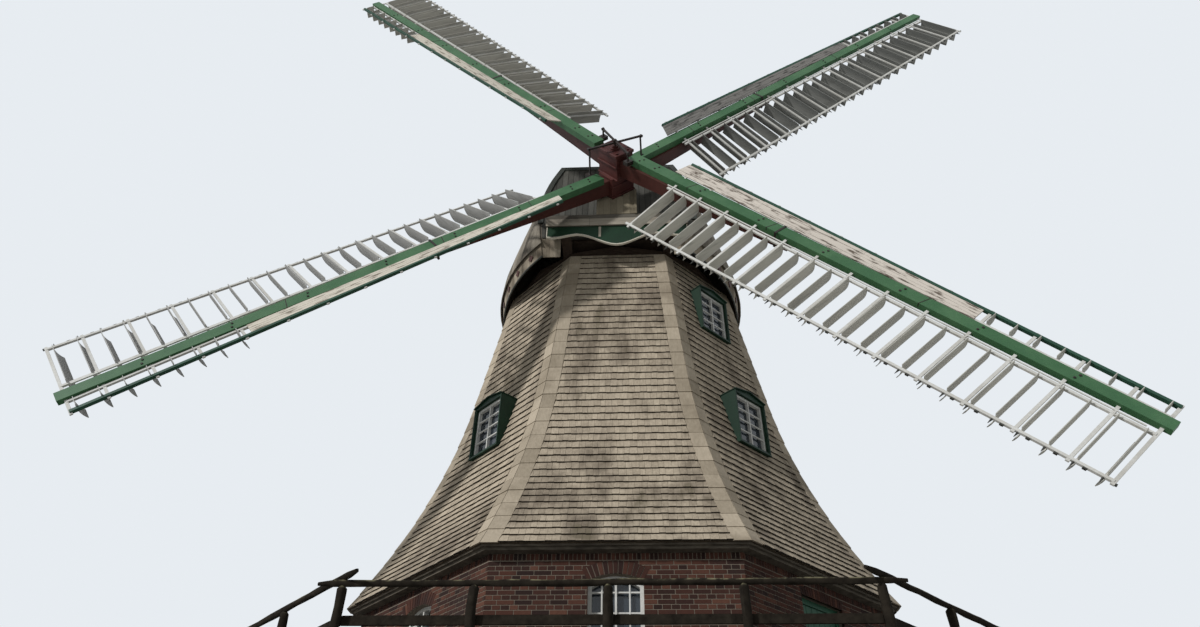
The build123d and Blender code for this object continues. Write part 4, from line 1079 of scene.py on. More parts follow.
cap_tones = (CAP_PALE, CAP_DARK, CAP_STAIN)
cap_material = weathered("cap_boards", *cap_tones, each=0.8, grain=34.0)
finish_nodes(weathered("cap_boarding", *cap_tones), "cap_flanks", "cap_top")
bent_board = slab("bent_board", 9)
flank = []
y = -RIM_HALF_LENGTH
while y < RIM_HALF_LENGTH:
    width = min(CAP_BOARD * random.uniform(1 - CAP_BOARD_VARY, 1 + CAP_BOARD_VARY), RIM_HALF_LENGTH - y)
    lift = random.uniform(0, UNEVEN)

    def flank_place(along, across, through):
        at = y + blend(FLANK_GAP, width - FLANK_GAP, across)
        z = blend(RIM_Z - EAVES_DROP, SHOULDER_Z, along)
        return flank_x(at, z) + blend(-CAP_BOARD_SINK, CAP_BOARD_THICK + lift, through), at, z
    flank.append(shaped(bent_board, flank_place))
    y += width
right_flank = outward_faces(joined(flank, "flank"))
end_tool = block("ends", (-4, -1, 13.5), (4, 1, 18.5))
reshape(end_tool, lambda co: Vector((co.x, co.y * (gable_y(co.z) + GABLE_OVERHANG), co.z)))
cut(right_flank, end_tool, "INTERSECT")
left_flank = mirrored(copy_of(right_flank, "flank"), x=-1)
dress(joined([left_flank, right_flank], "cap_flank_boards"), cap_material, "cap", "cap_boards")
drop(end_tool)

shoulder_y = gable_y(SHOULDER_Z)
roof = []
for side in (-1, 1):
    for half_length, sloping in ((shoulder_y, True), (SHOULDER_X, False)):
        start = -half_length
        while start < half_length:
            width = min(CAP_BOARD, half_length - start)

            def roof_place(along, across, through):
                at = start + blend(ROOF_GAP, width - ROOF_GAP, across)
                if sloping:
                    reach = 1 - max(0.0, (abs(at) - RIDGE_HALF_LENGTH) / (shoulder_y - RIDGE_HALF_LENGTH))
                    x, y = side * (SHOULDER_X + ROOF_LAP - (SHOULDER_X - ROOF_LAP) * along * reach), at
                else:
                    reach = 1 - abs(at) / SHOULDER_X
                    hip = (shoulder_y - RIDGE_HALF_LENGTH) * along * reach
                    x, y = at, side * (shoulder_y + ROOF_LAP - hip)
                return x, y, blend(SHOULDER_Z, RIDGE_Z, along * reach) - ROOF_SINK + ROOF_THICK * through
            roof.append(shaped(bent_board, roof_place))
            start += width
ridge_end = RIDGE_HALF_LENGTH + RIDGE_OVERRUN
ridge_high = (RIDGE_HALF, ridge_end, RIDGE_Z + RIDGE_THICK)
roof.append(block("ridge", (-RIDGE_HALF, -ridge_end, RIDGE_Z), ridge_high))
dress(outward_faces(joined(roof, "cap_roof_boards")), cap_material, "cap", "cap_boards")

# Gables. Upright boards close both ends of the cap square to the windshaft, with a round hole for
# it in front, and black barge boards follow the flanks' edges over the boards' ends.
GABLE_BOARD = 0.135
GABLE_GAP = 0.004
GABLE_HALF = 1.9
GABLE_FOOT = 14.1
GABLE_TOP = 17.3
GABLE_THICK = 0.017
GABLE_SINK = 0.002
BARGE_WIDTH = 0.13
BARGE_THICK = 0.048
BARGE_FOOT = 14.75
BARGE_LAP = 0.02
BARGE_OUT = 0.024
BARGE_LIFT = 0.002
LEVEL_HEIGHT = 0.11
LEVEL_DROP = 0.075
LEVEL_THICK = 0.03
SHAFT_HOLE = 0.262
BLACK_TRIM = (0.020, 0.026, 0.022)
BLACK_FADED = (0.045, 0.052, 0.046)
BLACK_UNDER = (0.090, 0.080, 0.065)
# Part of the gable boards' darkness is painted shade: their grey weathered tones are set darker, to the
# gables' look in shadow.
GABLE_TONES_WITH_PAINTED_SHADE = ((0.105, 0.102, 0.088), (0.034, 0.033, 0.028), (0.030, 0.027, 0.021))
GABLE_BACK = ((0.030, 0.029, 0.025), (0.014, 0.013, 0.011), CAP_STAIN)

trim_material = painted("barge_black", BLACK_TRIM, BLACK_FADED, BLACK_UNDER)
gable_material = weathered("gable_boards", *GABLE_TONES_WITH_PAINTED_SHADE, each=0.9)
finish_nodes(weathered("gable_back", *GABLE_BACK), "cap_gables")
gable_parts = sorted(cad_pieces("cap_gables"), key=lambda piece: middle_of(piece).y)
gable_hull = run_out(hull(gable_parts[0]), shaft, 0.1)
boards = []
x = -GABLE_HALF
while x < GABLE_HALF:
    lift = random.uniform(0, UNEVEN)

    def gable_place(along, across, through):
        z = blend(GABLE_FOOT, GABLE_TOP, along)
        face = Vector((x + blend(GABLE_GAP, GABLE_BOARD - GABLE_GAP, across), -gable_y(z), z))
        return face + shaft * blend(-GABLE_SINK, GABLE_THICK + lift, through)
    boards.append(shaped(board_master, gable_place))
    x += GABLE_BOARD
front_boards = cut(outward_faces(joined(boards, "gable_boards")), gable_hull, "INTERSECT")
back_boards = mirrored(copy_of(front_boards, "gable_boards"), y=-1)
hub_line = Vector((0, 0, shaft_line_z))
shaft_aim = shaft.to_track_quat("Z", "Y").to_matrix().to_4x4()
bore = rod("bore", 32, SHAFT_HOLE, 1.5)
moved(bore, Matrix.Translation(hub_line + shaft * GABLE_AXIAL) @ shaft_aim)
cut(front_boards, bore)
drop(bore, *gable_parts)


def barge_place(along, across, through):
    z = blend(BARGE_FOOT, SHOULDER_Z + BARGE_LAP, along)
    y = gable_y(z)
    edge = Vector((flank_x(y, z) + BARGE_OUT - BARGE_WIDTH * across, -y, z))
    return edge + shaft * (BARGE_LIFT + BARGE_THICK * through)


right_barge = shaped(bent_board, barge_place)
left_barge = mirrored(copy_of(right_barge, "barge"), x=-1)
level_x, level_y, level_z = SHOULDER_X + BARGE_LAP, -shoulder_y - BARGE_LAP, SHOULDER_Z - LEVEL_DROP
level = block("level", (-level_x, level_y - LEVEL_THICK, level_z), (level_x, level_y, level_z + LEVEL_HEIGHT))
front_barges = joined([right_barge, left_barge, level], "barges")
barges = [front_barges, mirrored(copy_of(front_barges, "barges"), y=-1)]
dress(joined([front_boards, back_boards], "gable_cladding"), gable_material, "cap", "cap_boards")
dress(outward_faces(joined(barges, "barge_boards")), trim_material, "cap", "cap_boards")

# Petticoat. Boards hang from the rim round the smock's top and lean in towards it, with returns at
# the front corners. They end in a dark edge below, and carry red-brown wooden studs.
SKIRT_FOOT = 13.66
SKIRT_LEAN = 0.075
SKIRT_RADIUS = rim_radius - 0.04
SKIRT_BOARD = 0.155
SKIRT_THICK = 0.016
SKIRT_OUT = 0.001
SKIRT_GAP = 0.02
SKIRT_LIFT = 0.006
SKIRT_RAGGED = 0.014
STUD_STEP = 4
STUD = 0.090
STUD_THICK = 0.022
STUD_OUT = 0.02
STUD_Z = 13.84
RETURN_BOARDS = 5
RETURN_BACK = 0.020
RETURN_SHORT = 0.004
EDGE_HEIGHT = 0.028
EDGE_THICK = 0.030
EDGE_DROP = 0.006
SKIRT_TONES = ((0.400, 0.345, 0.265), (0.150, 0.122, 0.088), (0.120, 0.096, 0.070))
STUD_TONE = (0.050, 0.016, 0.012)
STUD_FADED = (0.090, 0.030, 0.022)
STUD_UNDER = (0.030, 0.018, 0.013)

skirt_material = weathered("petticoat", *SKIRT_TONES, each=0.8)
stud_material = painted("stud_red", STUD_TONE, STUD_FADED, STUD_UNDER)
skirt_end = asin(gable_y(RIM_Z) / SKIRT_RADIUS)
count = round(2 * skirt_end / (SKIRT_BOARD / SKIRT_RADIUS))
board_turn = 2 * skirt_end / count
skirt = []
studs = []


def rim_point(turn, out, z):
    """A point of the leaning petticoat, this far round the rim and this far out."""
    radius = SKIRT_RADIUS + out - SKIRT_LEAN * (RIM_Z - z) / (RIM_Z - SKIRT_FOOT)
    return radius * cos(turn) + rim_centre, radius * sin(turn), z


for index in range(count):
    start = -skirt_end + index * board_turn
    low = SKIRT_FOOT + random.uniform(0, SKIRT_RAGGED)
    lift = random.uniform(0, SKIRT_LIFT)
    skirt.append(shaped(board_master, lambda along, across, through: rim_point(
        start + board_turn * blend(SKIRT_GAP, 1 - SKIRT_GAP, across),
        SKIRT_OUT + (SKIRT_THICK + lift) * through,
        blend(low, RIM_Z, along))))
    if index % STUD_STEP == STUD_STEP // 2:
        studs.append(shaped(board_master, lambda along, across, through: rim_point(
            start + board_turn / 2 + (along - across) * STUD / SKIRT_RADIUS, STUD_OUT + STUD_THICK * through,
            STUD_Z + (along + across - 1) * STUD)))
return_y = -gable_y(RIM_Z)
return_inner = min(vertex.co.x for vertex in nodes["cap_skirt"].data.vertices
                   if vertex.co.x > 0 and vertex.co.y < return_y + 0.1)
for end, inner, count in ((-1, return_inner, RETURN_BOARDS), (1, 0.0, 2 * RETURN_BOARDS)):
    for index in range(count):
        lift = random.uniform(0, SKIRT_LIFT)

        def return_place(along, across, through):
            x, y, z = rim_point(skirt_end, 0, blend(SKIRT_FOOT, RIM_Z, along))
            x = blend(inner, x - RETURN_SHORT, (index + blend(SKIRT_GAP, 1 - SKIRT_GAP, across)) / count)
            return x, end * (y - RETURN_BACK + (SKIRT_THICK + lift) * through), z
        skirt.append(shaped(board_master, return_place))
edge_master = slab("edge", 28)
edge = shaped(edge_master, lambda along, across, through: rim_point(
    blend(-skirt_end, skirt_end, along), EDGE_THICK * through, SKIRT_FOOT - EDGE_DROP + EDGE_HEIGHT * across))
drop(edge_master)
for pieces, name, material, replaced in ((skirt, "petticoat_boards", skirt_material, ("cap_skirt",)),
                                         (studs, "petticoat_studs", stud_material, ()),
                                         ([edge], "petticoat_edges", trim_material, ())):
    half_set = outward_faces(joined(pieces, "half_set"))
    twin = mirrored(copy_of(half_set, "half_set"), x=-1)
    dress(joined([half_set, twin], name), material, "cap", "skirt_boards", *replaced)

# Ledge and scalloped board. A boxed ledge of grey boards crosses the front of the cap, and the
# green board below it is sawn in waves, with a cream bead along its edge and a pale cleat.
LEDGE_FRONT = -3.10
LEDGE_HALF = 1.60
LEDGE_FOOT = 14.36
LEDGE_JOINTS = ((-LEDGE_HALF, -0.62), (-0.615, 0.55), (0.555, LEDGE_HALF))
LEDGE_STRIP = 0.095
LEDGE_TOP = 0.215
BEAD = 0.013
CLEAT_X = -0.38
CLEAT_HALF = 0.028
CLEAT_FOOT = 14.02
LEDGE_PALE = (0.215, 0.195, 0.160)
LEDGE_DARK = (0.095, 0.085, 0.068)
LEDGE_STAIN = (0.060, 0.052, 0.042)
STRIP_TONES = ((0.52, 0.47, 0.38), (0.24, 0.21, 0.17), LEDGE_DARK)
CREAM = (0.68, 0.64, 0.54)
CREAM_FADED = (0.52, 0.48, 0.39)
SCALLOP_TONES = ((0.008, 0.038, 0.016), (0.009, 0.030, 0.015), (0.008, 0.014, 0.009))

ledge_grain = (0.12, 1, 1)
finish_nodes(weathered("ledge_boards", LEDGE_PALE, LEDGE_DARK, LEDGE_STAIN, stretch=ledge_grain),
             "weather_board", "storm_box")
strip_material = weathered("ledge_strip", *STRIP_TONES, stretch=ledge_grain, each=0.9)
cream_material = painted("cream_bead", CREAM, CREAM_FADED, BARE_WOOD)
finish_nodes(painted("scallop_green", *SCALLOP_TONES), "scalloped_board")
strips = []
for index, (start, end) in enumerate(LEDGE_JOINTS):
    for out, low, high in ((0.018, -0.004 * index, LEDGE_STRIP), (0.010, LEDGE_STRIP + 0.004, LEDGE_TOP)):
        strips.append(block("strip", (start, LEDGE_FRONT - out, LEDGE_FOOT + low),
                            (end, LEDGE_FRONT + 0.002, LEDGE_FOOT + high)))
dress(bevelled(joined(strips, "ledge_strips"), 0.004), strip_material, "cap", "ledge_boards")

scallop_low, scallop_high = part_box("scalloped_board")
wave = {}
for vertex in nodes["scalloped_board"].data.vertices:
    key = round(vertex.co.x, 3)
    wave[key] = min(wave.get(key, scallop_high.z), vertex.co.z)
wave = sorted(wave.items())


def bead_place(along, across, through):
    x, z = wave[round(along * (len(wave) - 1))]
    return x, blend(scallop_low.y - 0.007, scallop_high.y + 0.003, through), z + BEAD * (2.2 * across - 1)


bead_master = slab("bead", len(wave) - 1)
beads = [shaped(bead_master, bead_place)]
for side in (-1, 1):
    edges = sorted((side * (scallop_high.x + 0.002), side * (scallop_high.x - 0.018)))
    beads.append(block("end", (edges[0], scallop_low.y - 0.006, wave[0][1]),
                       (edges[1], scallop_low.y + 0.02, scallop_high.z - 0.01)))
dress(outward_faces(joined(beads, "scallop_bead")), cream_material, "cap", "scallop_paint")
cleat = block("scallop_cleats", (CLEAT_X - CLEAT_HALF, scallop_low.y - 0.014, CLEAT_FOOT),
              (CLEAT_X + CLEAT_HALF, scallop_low.y + 0.002, scallop_high.z - 0.03))
dress(bevelled(cleat, 0.004), strip_material, "cap", "scallop_paint")
drop(bead_master)

# Neck below the windshaft. Pale boards box in the breast beam, with a batten down each corner
# and upright joints between the boards.
NECK_HALF = 0.45
NECK_FRONT = GABLE_AXIAL + 0.29
NECK_HEIGHT = 1.02
NECK_THROAT = 0.2604
NECK_BOARDS = 6
NECK_BOARD_THICK = 0.014
NECK_HEAD = 0.02
NECK_GAP = 0.002
BATTEN_WIDTH = 0.055
BATTEN_THICK = 0.02
BATTEN_OUT = 0.016
BATTEN_OVER = 0.012
NECK_TONES = ((0.30, 0.26, 0.185), (0.13, 0.108, 0.072), (0.070, 0.056, 0.036))

neck_width = 2 * NECK_HALF / NECK_BOARDS
neck_pieces = []
for index in range(NECK_BOARDS):
    left = -NECK_HALF + neck_width * index
    throat = 0.0 if abs(index - (NECK_BOARDS - 1) / 2) > 1 else NECK_THROAT
    lift = random.uniform(0, UNEVEN)

    def neck_place(along, across, through):
        point = hub_line + shaft * (NECK_FRONT + (NECK_BOARD_THICK + lift) * through)
        point -= up_the_sweep * blend(1.0, NECK_HEAD + throat, along)
        return point + Vector((left + blend(NECK_GAP, neck_width - NECK_GAP, across), 0, 0))
    neck_pieces.append(shaped(board_master, neck_place))
for side in (-1, 1):
    def batten_place(along, across, through):
        point = hub_line + shaft * (NECK_FRONT + BATTEN_OUT + BATTEN_THICK * through)
        point -= up_the_sweep * NECK_HEIGHT * (1 - along)
        return point + Vector((side * (NECK_HALF + BATTEN_OVER - BATTEN_WIDTH * across), 0, 0))
    neck_pieces.append(shaped(board_master, batten_place))
neck_material = weathered("neck_boards", *NECK_TONES, each=0.8)
dress(outward_faces(joined(neck_pieces, "neck_boards")), neck_material, "cap", "ledge_boards")

# Stocks and whips. Two dark red stocks cross in the poll end, and a green whip is bolted on each
# half. An iron strap clasps both near the stock's end, and thin black joints cross the whips.
SAIL_TURNS = {"a": (130, 0.0), "b": (40, 0.493), "c": (-50, 0.0), "d": (-140, 0.493)}
CONING = radians(2.5)
WHIP_MIDDLE = 0.06
WHIP_WIDTHS = (0.28, 0.23)
WHIP_REACH = (0.52, 11.72)
WHIP_DEPTH = 0.16
STOCK_WIDTHS = (0.30, 0.20)
STOCK_DEPTHS = (0.40, 0.12)
STOCK_REACH = (0, 5.15)
WHIP_BOLTS = (0.85, 1.35, 2.75, 4.35, 5.9, 7.5, 8.9, 10.4)
BOLT_OFFSET = 0.05
BOLT_SKEW = 0.35
BOLT_LEVEL = 0.006
WHIP_SPLICES = (2.45, 4.62, 7.9)
SPLICE_HALF = 0.008
SPLICE_SKEW = 0.25
CLAMP_RADIUS = 4.85
STRAP_WIDTH = 0.045
STRAP_THICK = 0.009
RED_TONES = ((0.060, 0.017, 0.014), (0.095, 0.031, 0.025), (0.035, 0.022, 0.016))
WHIP_TONES = ((0.042, 0.122, 0.050), (0.078, 0.175, 0.080), (0.030, 0.070, 0.040))

hub = Vector((0, -HUB_FRONT, HUB_Z))
sail_places = {}
for key, (turn, set_back) in SAIL_TURNS.items():
    across = Vector((cos(radians(turn)), 0, 0)) + up_the_sweep * sin(radians(turn))
    along = across * cos(CONING) + shaft * sin(CONING)
    front = shaft * cos(CONING) - across * sin(CONING)
    place = Matrix((along, front.cross(along), front)).transposed().to_4x4()
    place.translation = hub - shaft * set_back
    sail_places[key] = place


def tapered(pair, radius, reach):
    return blend(*pair, (radius - reach[0]) / (reach[1] - reach[0]))


def on_each_sail(pieces, name, material, slot):
    """The same piece on all four sails, joined into one."""
    master = joined(pieces, "master")
    twins = [moved(copy_of(master, "twin"), place) for place in sail_places.values()]
    drop(master)
    dress(outward_faces(joined(twins, name)), material, "sails", slot)


finish_nodes(painted("stock_red", *RED_TONES, stretch=(0.4, 0.4, 0.4)), "front_stock", "rear_stock")
finish_nodes(painted("whip_green", *WHIP_TONES, flaked=0.68), "whips")
irons = []
for radius in WHIP_BOLTS:
    for offset in (-BOLT_OFFSET, BOLT_OFFSET):
        spot = Matrix.Translation((radius + BOLT_SKEW * offset, WHIP_MIDDLE + offset, BOLT_LEVEL))
        irons.append(moved(copy_of(bolt_master, "bolt"), spot))
start, end = CLAMP_RADIUS - STRAP_WIDTH / 2, CLAMP_RADIUS + STRAP_WIDTH / 2
low = -tapered(STOCK_WIDTHS, CLAMP_RADIUS, STOCK_REACH) / 2
high = WHIP_MIDDLE + tapered(WHIP_WIDTHS, CLAMP_RADIUS, WHIP_REACH) / 2
back = -WHIP_DEPTH - tapered(STOCK_DEPTHS, CLAMP_RADIUS, STOCK_REACH)
irons.append(block("strap", (start, low, 0.001), (end, high, STRAP_THICK)))
irons.append(block("strap", (start, low, back - STRAP_THICK), (end, high, back)))
for side in (low - STRAP_THICK, high):
    irons.append(block("strap", (start, side, back - 0.02), (end, side + STRAP_THICK, 0.015)))
for radius in WHIP_SPLICES:
    half = tapered(WHIP_WIDTHS, radius, WHIP_REACH) / 2 + 0.002
    splice = block("splice", (-SPLICE_HALF, WHIP_MIDDLE - half, -0.07),
                   (SPLICE_HALF, WHIP_MIDDLE + half, 0.0025))
    irons.append(reshape(splice, lambda co: co + Vector((radius + SPLICE_SKEW * co.y, 0, 0))))
on_each_sail(irons, "sail_irons", iron_material, "gear_iron")

# Sail frames. White bars pass through each whip and carry white rails: two on the trailing side,
# a dark green one along the leading edge, and a thin working batten that moves the shutters.
FRAME_REACH = (1.99, 11.60)
WEATHER_ROOT = 16.4
BAR_LEVEL = -0.06
TRAIL_INNER = 0.23
TRAIL_OUTER = (-1.46, -1.40)
LEAD_OUTER = (0.56, 0.51)
LEAD_INNER = 0.225
RAIL_HALF = 0.025
SHUTTER_PITCH = 0.372
SHUTTER_COUNT = 26
BOARDS_REACH = (1.80, 8.70)
BATTEN_REACH = (1.95, 11.45)
BATTEN_SIDES = (-0.186, -0.164)
BATTEN_FACES = (0.016, 0.034)
LINK_REACH = (-0.06, -0.035)
LINK_SIDES = (-0.245, -0.165)
LINK_FACES = (0.020, 0.032)
STOP_REACH = (0.12, 0.175)
STOP_SIDES = (-0.05, 0.004 - RAIL_HALF)
STOP_FACES = (-0.022, 0.012)
PEG_RADIUS = 0.020
PEG_LENGTH = 0.11
RAIL_TONES = ((0.66, 0.66, 0.63), (0.50, 0.49, 0.45), BARE_WOOD)
EDGE_TONES = ((0.016, 0.060, 0.036), (0.030, 0.095, 0.058), (0.020, 0.028, 0.022))
PEG_TONES = ((0.028, 0.030, 0.028), (0.055, 0.058, 0.052), (0.10, 0.09, 0.07))


def weather(radius):
    return radians(WEATHER_ROOT * (1 - tapered((0, 1), radius, FRAME_REACH)))


def beside_whip(line, radius):
    """How far a rail runs from the whip's middle line at this radius, given for root and tip."""
    return tapered(line, radius, FRAME_REACH)


def on_sail(radius, across, out):
    """Point on a sail: along it, across it at its weather there, and in front of its bars."""
    turn = weather(radius)
    return (radius, across * cos(turn) - out * sin(turn), BAR_LEVEL + across * sin(turn) + out * cos(turn))


def strip_on_sail(master, reach, line, sides, outs):
    """A strip on a sail, beside a rail."""
    def strip_place(along, across, through):
        radius = blend(*reach, along)
        return on_sail(radius, beside_whip(line, radius) + blend(*sides, across), blend(*outs, through))
    return shaped(master, strip_place)


rail_material = painted("rail_white", *RAIL_TONES, flaked=0.70)
finish_nodes(rail_material, *[f"sail_frame_{key}" for key in SAIL_TURNS])
long_slab = slab("long", 24)
edge = strip_on_sail(long_slab, (BOARDS_REACH[0] + 0.15, FRAME_REACH[1] + 0.01), LEAD_OUTER,
                     (-RAIL_HALF - 0.003, RAIL_HALF + 0.006), (-0.023, 0.040))
on_each_sail([edge], "leading_edges", painted("edge_green", *EDGE_TONES), "whip_paint")
shutter_radii = [FRAME_REACH[0] + SHUTTER_PITCH * (index + 0.5) for index in range(SHUTTER_COUNT)]
battens = [strip_on_sail(long_slab, BATTEN_REACH, (0, 0), BATTEN_SIDES, BATTEN_FACES)]
for radius in shutter_radii[::2]:
    reach = [radius + end for end in LINK_REACH]
    battens.append(strip_on_sail(board_master, reach, (0, 0), LINK_SIDES, LINK_FACES))
on_each_sail(battens, "shutter_battens", rail_material, "rail_paint")
bpy.ops.mesh.primitive_cone_add(vertices=8, radius1=PEG_RADIUS, radius2=0.004, depth=PEG_LENGTH)
peg_master = settle(added("peg"))
pegs = []
for radius in shutter_radii:
    side = beside_whip(TRAIL_OUTER, radius) - RAIL_HALF - PEG_LENGTH / 2 + 0.01
    aim = Matrix.Rotation(weather(radius), 4, "X") @ Matrix.Rotation(pi / 2, 4, "X")
    pegs.append(moved(copy_of(peg_master, "peg"), Matrix.Translation(on_sail(radius, side, -0.01)) @ aim))
    reach = [radius + end for end in STOP_REACH]
    pegs.append(strip_on_sail(board_master, reach, TRAIL_OUTER, STOP_SIDES, STOP_FACES))
on_each_sail(pegs, "shutter_pegs", painted("peg_dark", *PEG_TONES), "rail_paint")
drop(peg_master, long_slab)

# Windboards. Four thin boards to each sail, butted in three lengths, fill the leading side. Their
# white paint has bleached and flaked down to dark wood, most of all along the joints.
WINDBOARD_BACK = 0.0135
WINDBOARD_FACE = 0.0355
BOARD_JOINTS = (1.80, 4.05, 6.45, 8.70)
BOARD_SLANT = 0.38
BOARD_ROWS = 4
ROW_GAP = 0.005
BOARD_CROOK = 0.002
# Sail b's dark grey boards and flakes are painted shade on the same bleached white paint, for its leading
# side in shadow.
WINDBOARD_TONES_B_SHADED = {"a": (0.64, 0.59, 0.50), "b": (0.210, 0.200, 0.185),
               "c": (0.62, 0.56, 0.49), "d": (0.64, 0.59, 0.50)}
WINDBOARD_FLAKE_TONES_B_SHADED = {"a": (0.20, 0.17, 0.13), "b": (0.060, 0.058, 0.054),
              "c": (0.11, 0.085, 0.065), "d": (0.20, 0.17, 0.13)}


def darker(tone, share):
    return tuple(share * value for value in tone)


board_slab = slab("windboard", 8)
board_inner = WHIP_MIDDLE + WHIP_WIDTHS[0] / 2 + 0.008
for key, place in sail_places.items():
    boards = []
    for row in range(BOARD_ROWS):
        for start, end in zip(BOARD_JOINTS, BOARD_JOINTS[1:]):
            lift = random.uniform(0, UNEVEN)
            crook = random.uniform(-BOARD_CROOK, BOARD_CROOK)

            def windboard_place(along, across, through):
                radius = blend(start + 0.002, end - 0.002, along)
                outer = beside_whip(LEAD_OUTER, radius) - RAIL_HALF - 0.008
                side = (outer - board_inner) / BOARD_ROWS * (row + across) + (0.5 - across) * ROW_GAP + crook
                slant = BOARD_SLANT * side * (1 - along) if start == BOARD_JOINTS[0] else 0
                return on_sail(radius + slant, board_inner + side,
                               blend(WINDBOARD_BACK, WINDBOARD_FACE + lift, through))
            boards.append(shaped(board_slab, windboard_place))
    piece = moved(outward_faces(joined(boards, f"windboards_{key}")), place)
    finish = Finish(f"windboards_{key}", roughness=0.85)
    fibre = finish.noise(22.0, (0.10, 1, 1), detail=6.0, frame=place)
    flake = finish.noise(8.0, (0.35, 1, 1), detail=7.0, frame=place)
    tone = finish.mix(finish.island() * 0.35, WINDBOARD_TONES_B_SHADED[key], darker(WINDBOARD_TONES_B_SHADED[key], 0.72))
    tone = finish.mix(finish.between(fibre * 0.55 + flake * 0.45, 0.50, 0.60), tone, WINDBOARD_FLAKE_TONES_B_SHADED[key])
    material = finish.done(tone, finish.bump(fibre, 0.003, 0.7))
    dress(piece, material, "sails", "windboard_paint", "windboards")
drop(board_slab)

# Shutters. Cambered slats of thin board, painted grey, are pivoted between the rails near their
# front edge, and stand open. At the tips a short row stands on the leading side too.
SHUTTER_CHORD = (-0.265, 0.085)
SHUTTER_OPEN = {"a": 102, "b": 98, "c": 79, "d": 80}
SHUTTER_ROCK = 1.2
SHUTTER_CAMBER = 0.032
SHUTTER_THICK = 0.011
SHUTTER_END = RAIL_HALF + 0.001
# The sails' greys differ as painted light and shade: all slats have the same grey paint, set lighter or
# darker by how each sail faces the light, sail b darkest for its shaded undersides.
SHUTTER_LIT_AND_SHADED_TONES = {"a": (0.42, 0.405, 0.36), "b": (0.260, 0.260, 0.240),
                 "c": (0.53, 0.515, 0.46), "d": (0.39, 0.385, 0.365)}

slat_master = slab("slat", 8)
for key, place in sail_places.items():
    slats = []
    for radius in shutter_radii:
        spans = [(beside_whip(TRAIL_OUTER, radius) + SHUTTER_END, -TRAIL_INNER - SHUTTER_END)]
        if radius > BOARDS_REACH[1]:
            spans.append((LEAD_INNER + SHUTTER_END, beside_whip(LEAD_OUTER, radius) - SHUTTER_END))
        rock = radians(SHUTTER_OPEN[key]) + radians(random.uniform(-SHUTTER_ROCK, SHUTTER_ROCK))
        for span in spans:
            def slat_place(along, across, through):
                chord = blend(*SHUTTER_CHORD, along)
                rise = SHUTTER_CAMBER * (1 - (2 * along - 1) ** 2) + SHUTTER_THICK * (through - 0.5)
                x, y, z = on_sail(radius, blend(*span, across), chord * sin(rock) - rise * cos(rock))
                return x + chord * cos(rock) + rise * sin(rock), y, z
            slats.append(shaped(slat_master, slat_place))
    piece = alone(moved(outward_faces(joined(slats, f"shutter_slats_{key}")), place))
    bpy.ops.object.shade_smooth_by_angle(angle=radians(35))
    finish = Finish(f"shutters_{key}", roughness=0.6)
    streak = finish.noise(16.0, (1, 0.08, 1), frame=place)
    dirt = finish.noise(3.0, (1, 0.5, 1), frame=place)
    tone = finish.mix(finish.island() * 0.45, SHUTTER_LIT_AND_SHADED_TONES[key], darker(SHUTTER_LIT_AND_SHADED_TONES[key], 0.75))
    tone = finish.stain(tone, darker(SHUTTER_LIT_AND_SHADED_TONES[key], 0.52), streak * 0.5 + dirt * 0.5, 0.48, 0.66, 0.6)
    material = finish.done(tone, finish.bump(streak, 0.002, 0.5))
    dress(piece, material, "sails", "shutter_paint", f"shutters_{key}")
drop(slat_master)

# Poll end. A dark red iron casting of two crossed boxes holds the stocks. Heavy flanges stiffen
# its mouths, and a round boss in front carries the striking rod between four nuts.
SLEEVE_X = 0.33
SLEEVE_Y = 0.235
POLL_FLANGES = ((130, -0.030, 0.038), (130, -0.300, -0.262), (130, -0.618, -0.572),
                (40, -1.085, -1.035), (40, -0.800, -0.765))
FLANGE_PROUD = 0.032
FLANGE_LAP = 0.03
FLANGE_ROUND = 0.008
BOSSES = ((0.115, 0.028, 0.062), (0.070, 0.055, 0.105))
NUT_X = 0.25
NUT_Y = 0.16
NUT_Z = 0.044
NUT_SCALE = 1.5
EDGE_LIMIT = radians(50)
POLL_TONES = ((0.050, 0.011, 0.010), (0.130, 0.042, 0.036), (0.040, 0.018, 0.014))

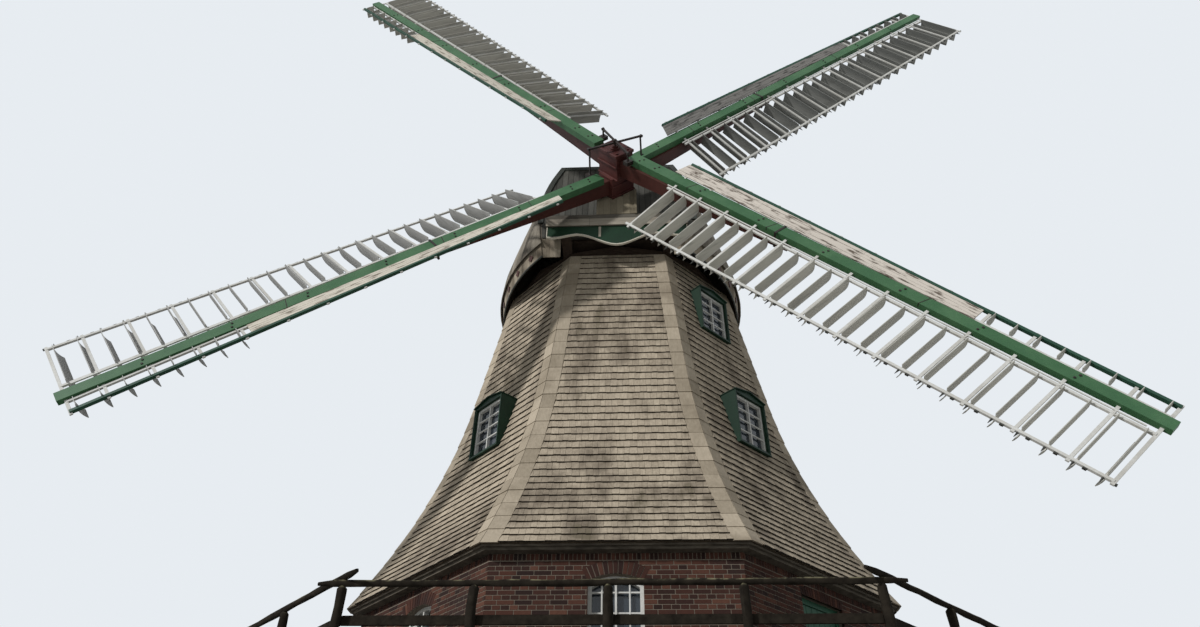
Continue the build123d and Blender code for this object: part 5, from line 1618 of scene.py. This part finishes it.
poll_material = painted("poll_red", *POLL_TONES)
finish_nodes(poll_material, "poll_end")
hub_frame = Matrix((Vector((1, 0, 0)), up_the_sweep, shaft)).transposed().to_4x4()
hub_frame.translation = hub
flanges = []
for turn, back, front in POLL_FLANGES:
    outer = block("flange", (-SLEEVE_X - FLANGE_PROUD * 0.4, -SLEEVE_Y - FLANGE_PROUD, back),
                  (SLEEVE_X + FLANGE_PROUD * 0.4, SLEEVE_Y + FLANGE_PROUD, front))
    inner = block("inner", (FLANGE_LAP - SLEEVE_X, 0.002 - SLEEVE_Y, back - 0.1),
                  (SLEEVE_X - FLANGE_LAP, SLEEVE_Y - 0.002, front + 0.1))
    bevelled(cut(outer, inner), FLANGE_ROUND, segments=2)
    drop(inner)
    flanges.append(moved(outer, hub_frame @ Matrix.Rotation(radians(turn), 4, "Z")))
for radius, low, high in BOSSES:
    boss = moved(rod("boss", 28, radius, high - low), Matrix.Translation((0, 0, (low + high) / 2)))
    flanges.append(moved(bevelled(boss, FLANGE_ROUND, segments=2, angle_limit=EDGE_LIMIT), hub_frame))
for x in (-NUT_X, NUT_X):
    for y in (-NUT_Y, NUT_Y):
        spot = Matrix.Rotation(radians(130), 4, "Z") @ Matrix.Translation((x, y, NUT_Z))
        flanges.append(moved(copy_of(bolt_master, "nut"), hub_frame @ spot @ Matrix.Scale(NUT_SCALE, 4)))
dress(joined(flanges, "poll_flanges"), poll_material, "sails", "poll_paint")

# Striking gear. Black iron arms on the striking rod reach out to a link at each whip's root. The
# pins and eyes are forged, and stand out a little at every turning point.
GEAR_REACH = 0.64
GEAR_SIDE = -0.166
ROD_FRONT = 0.23
EYE_RADIUS = 0.034
EYE_DEPTH = 0.062
CAP_NUT_RADIUS = 0.045
CAP_NUT_BACK = ROD_FRONT - 0.035

finish_nodes(iron_material, "striking_gear")
pins = []
for turn, set_back in SAIL_TURNS.values():
    for out in (0.012 - set_back, ROD_FRONT - (0.06 if set_back else 0.02)):
        eye = rod("eye", 12, EYE_RADIUS, EYE_DEPTH)
        bevelled(eye, FLANGE_ROUND, segments=2, angle_limit=EDGE_LIMIT)
        spot = Matrix.Rotation(radians(turn), 4, "Z") @ Matrix.Translation((GEAR_REACH, GEAR_SIDE, out))
        pins.append(moved(eye, hub_frame @ spot @ Matrix.Rotation(pi / 2, 4, "X")))
bpy.ops.mesh.primitive_uv_sphere_add(segments=20, ring_count=12, radius=CAP_NUT_RADIUS,
                                     location=(0, 0, ROD_FRONT - 0.01))
cap_nut = reshape(settle(added("cap_nut")), lambda co: Vector((co.x, co.y, max(co.z, CAP_NUT_BACK))))
pins.append(moved(cap_nut, hub_frame))
dress(joined(pins, "gear_pins"), iron_material, "sails", "gear_iron")
drop(bolt_master, bent_board, board_master)
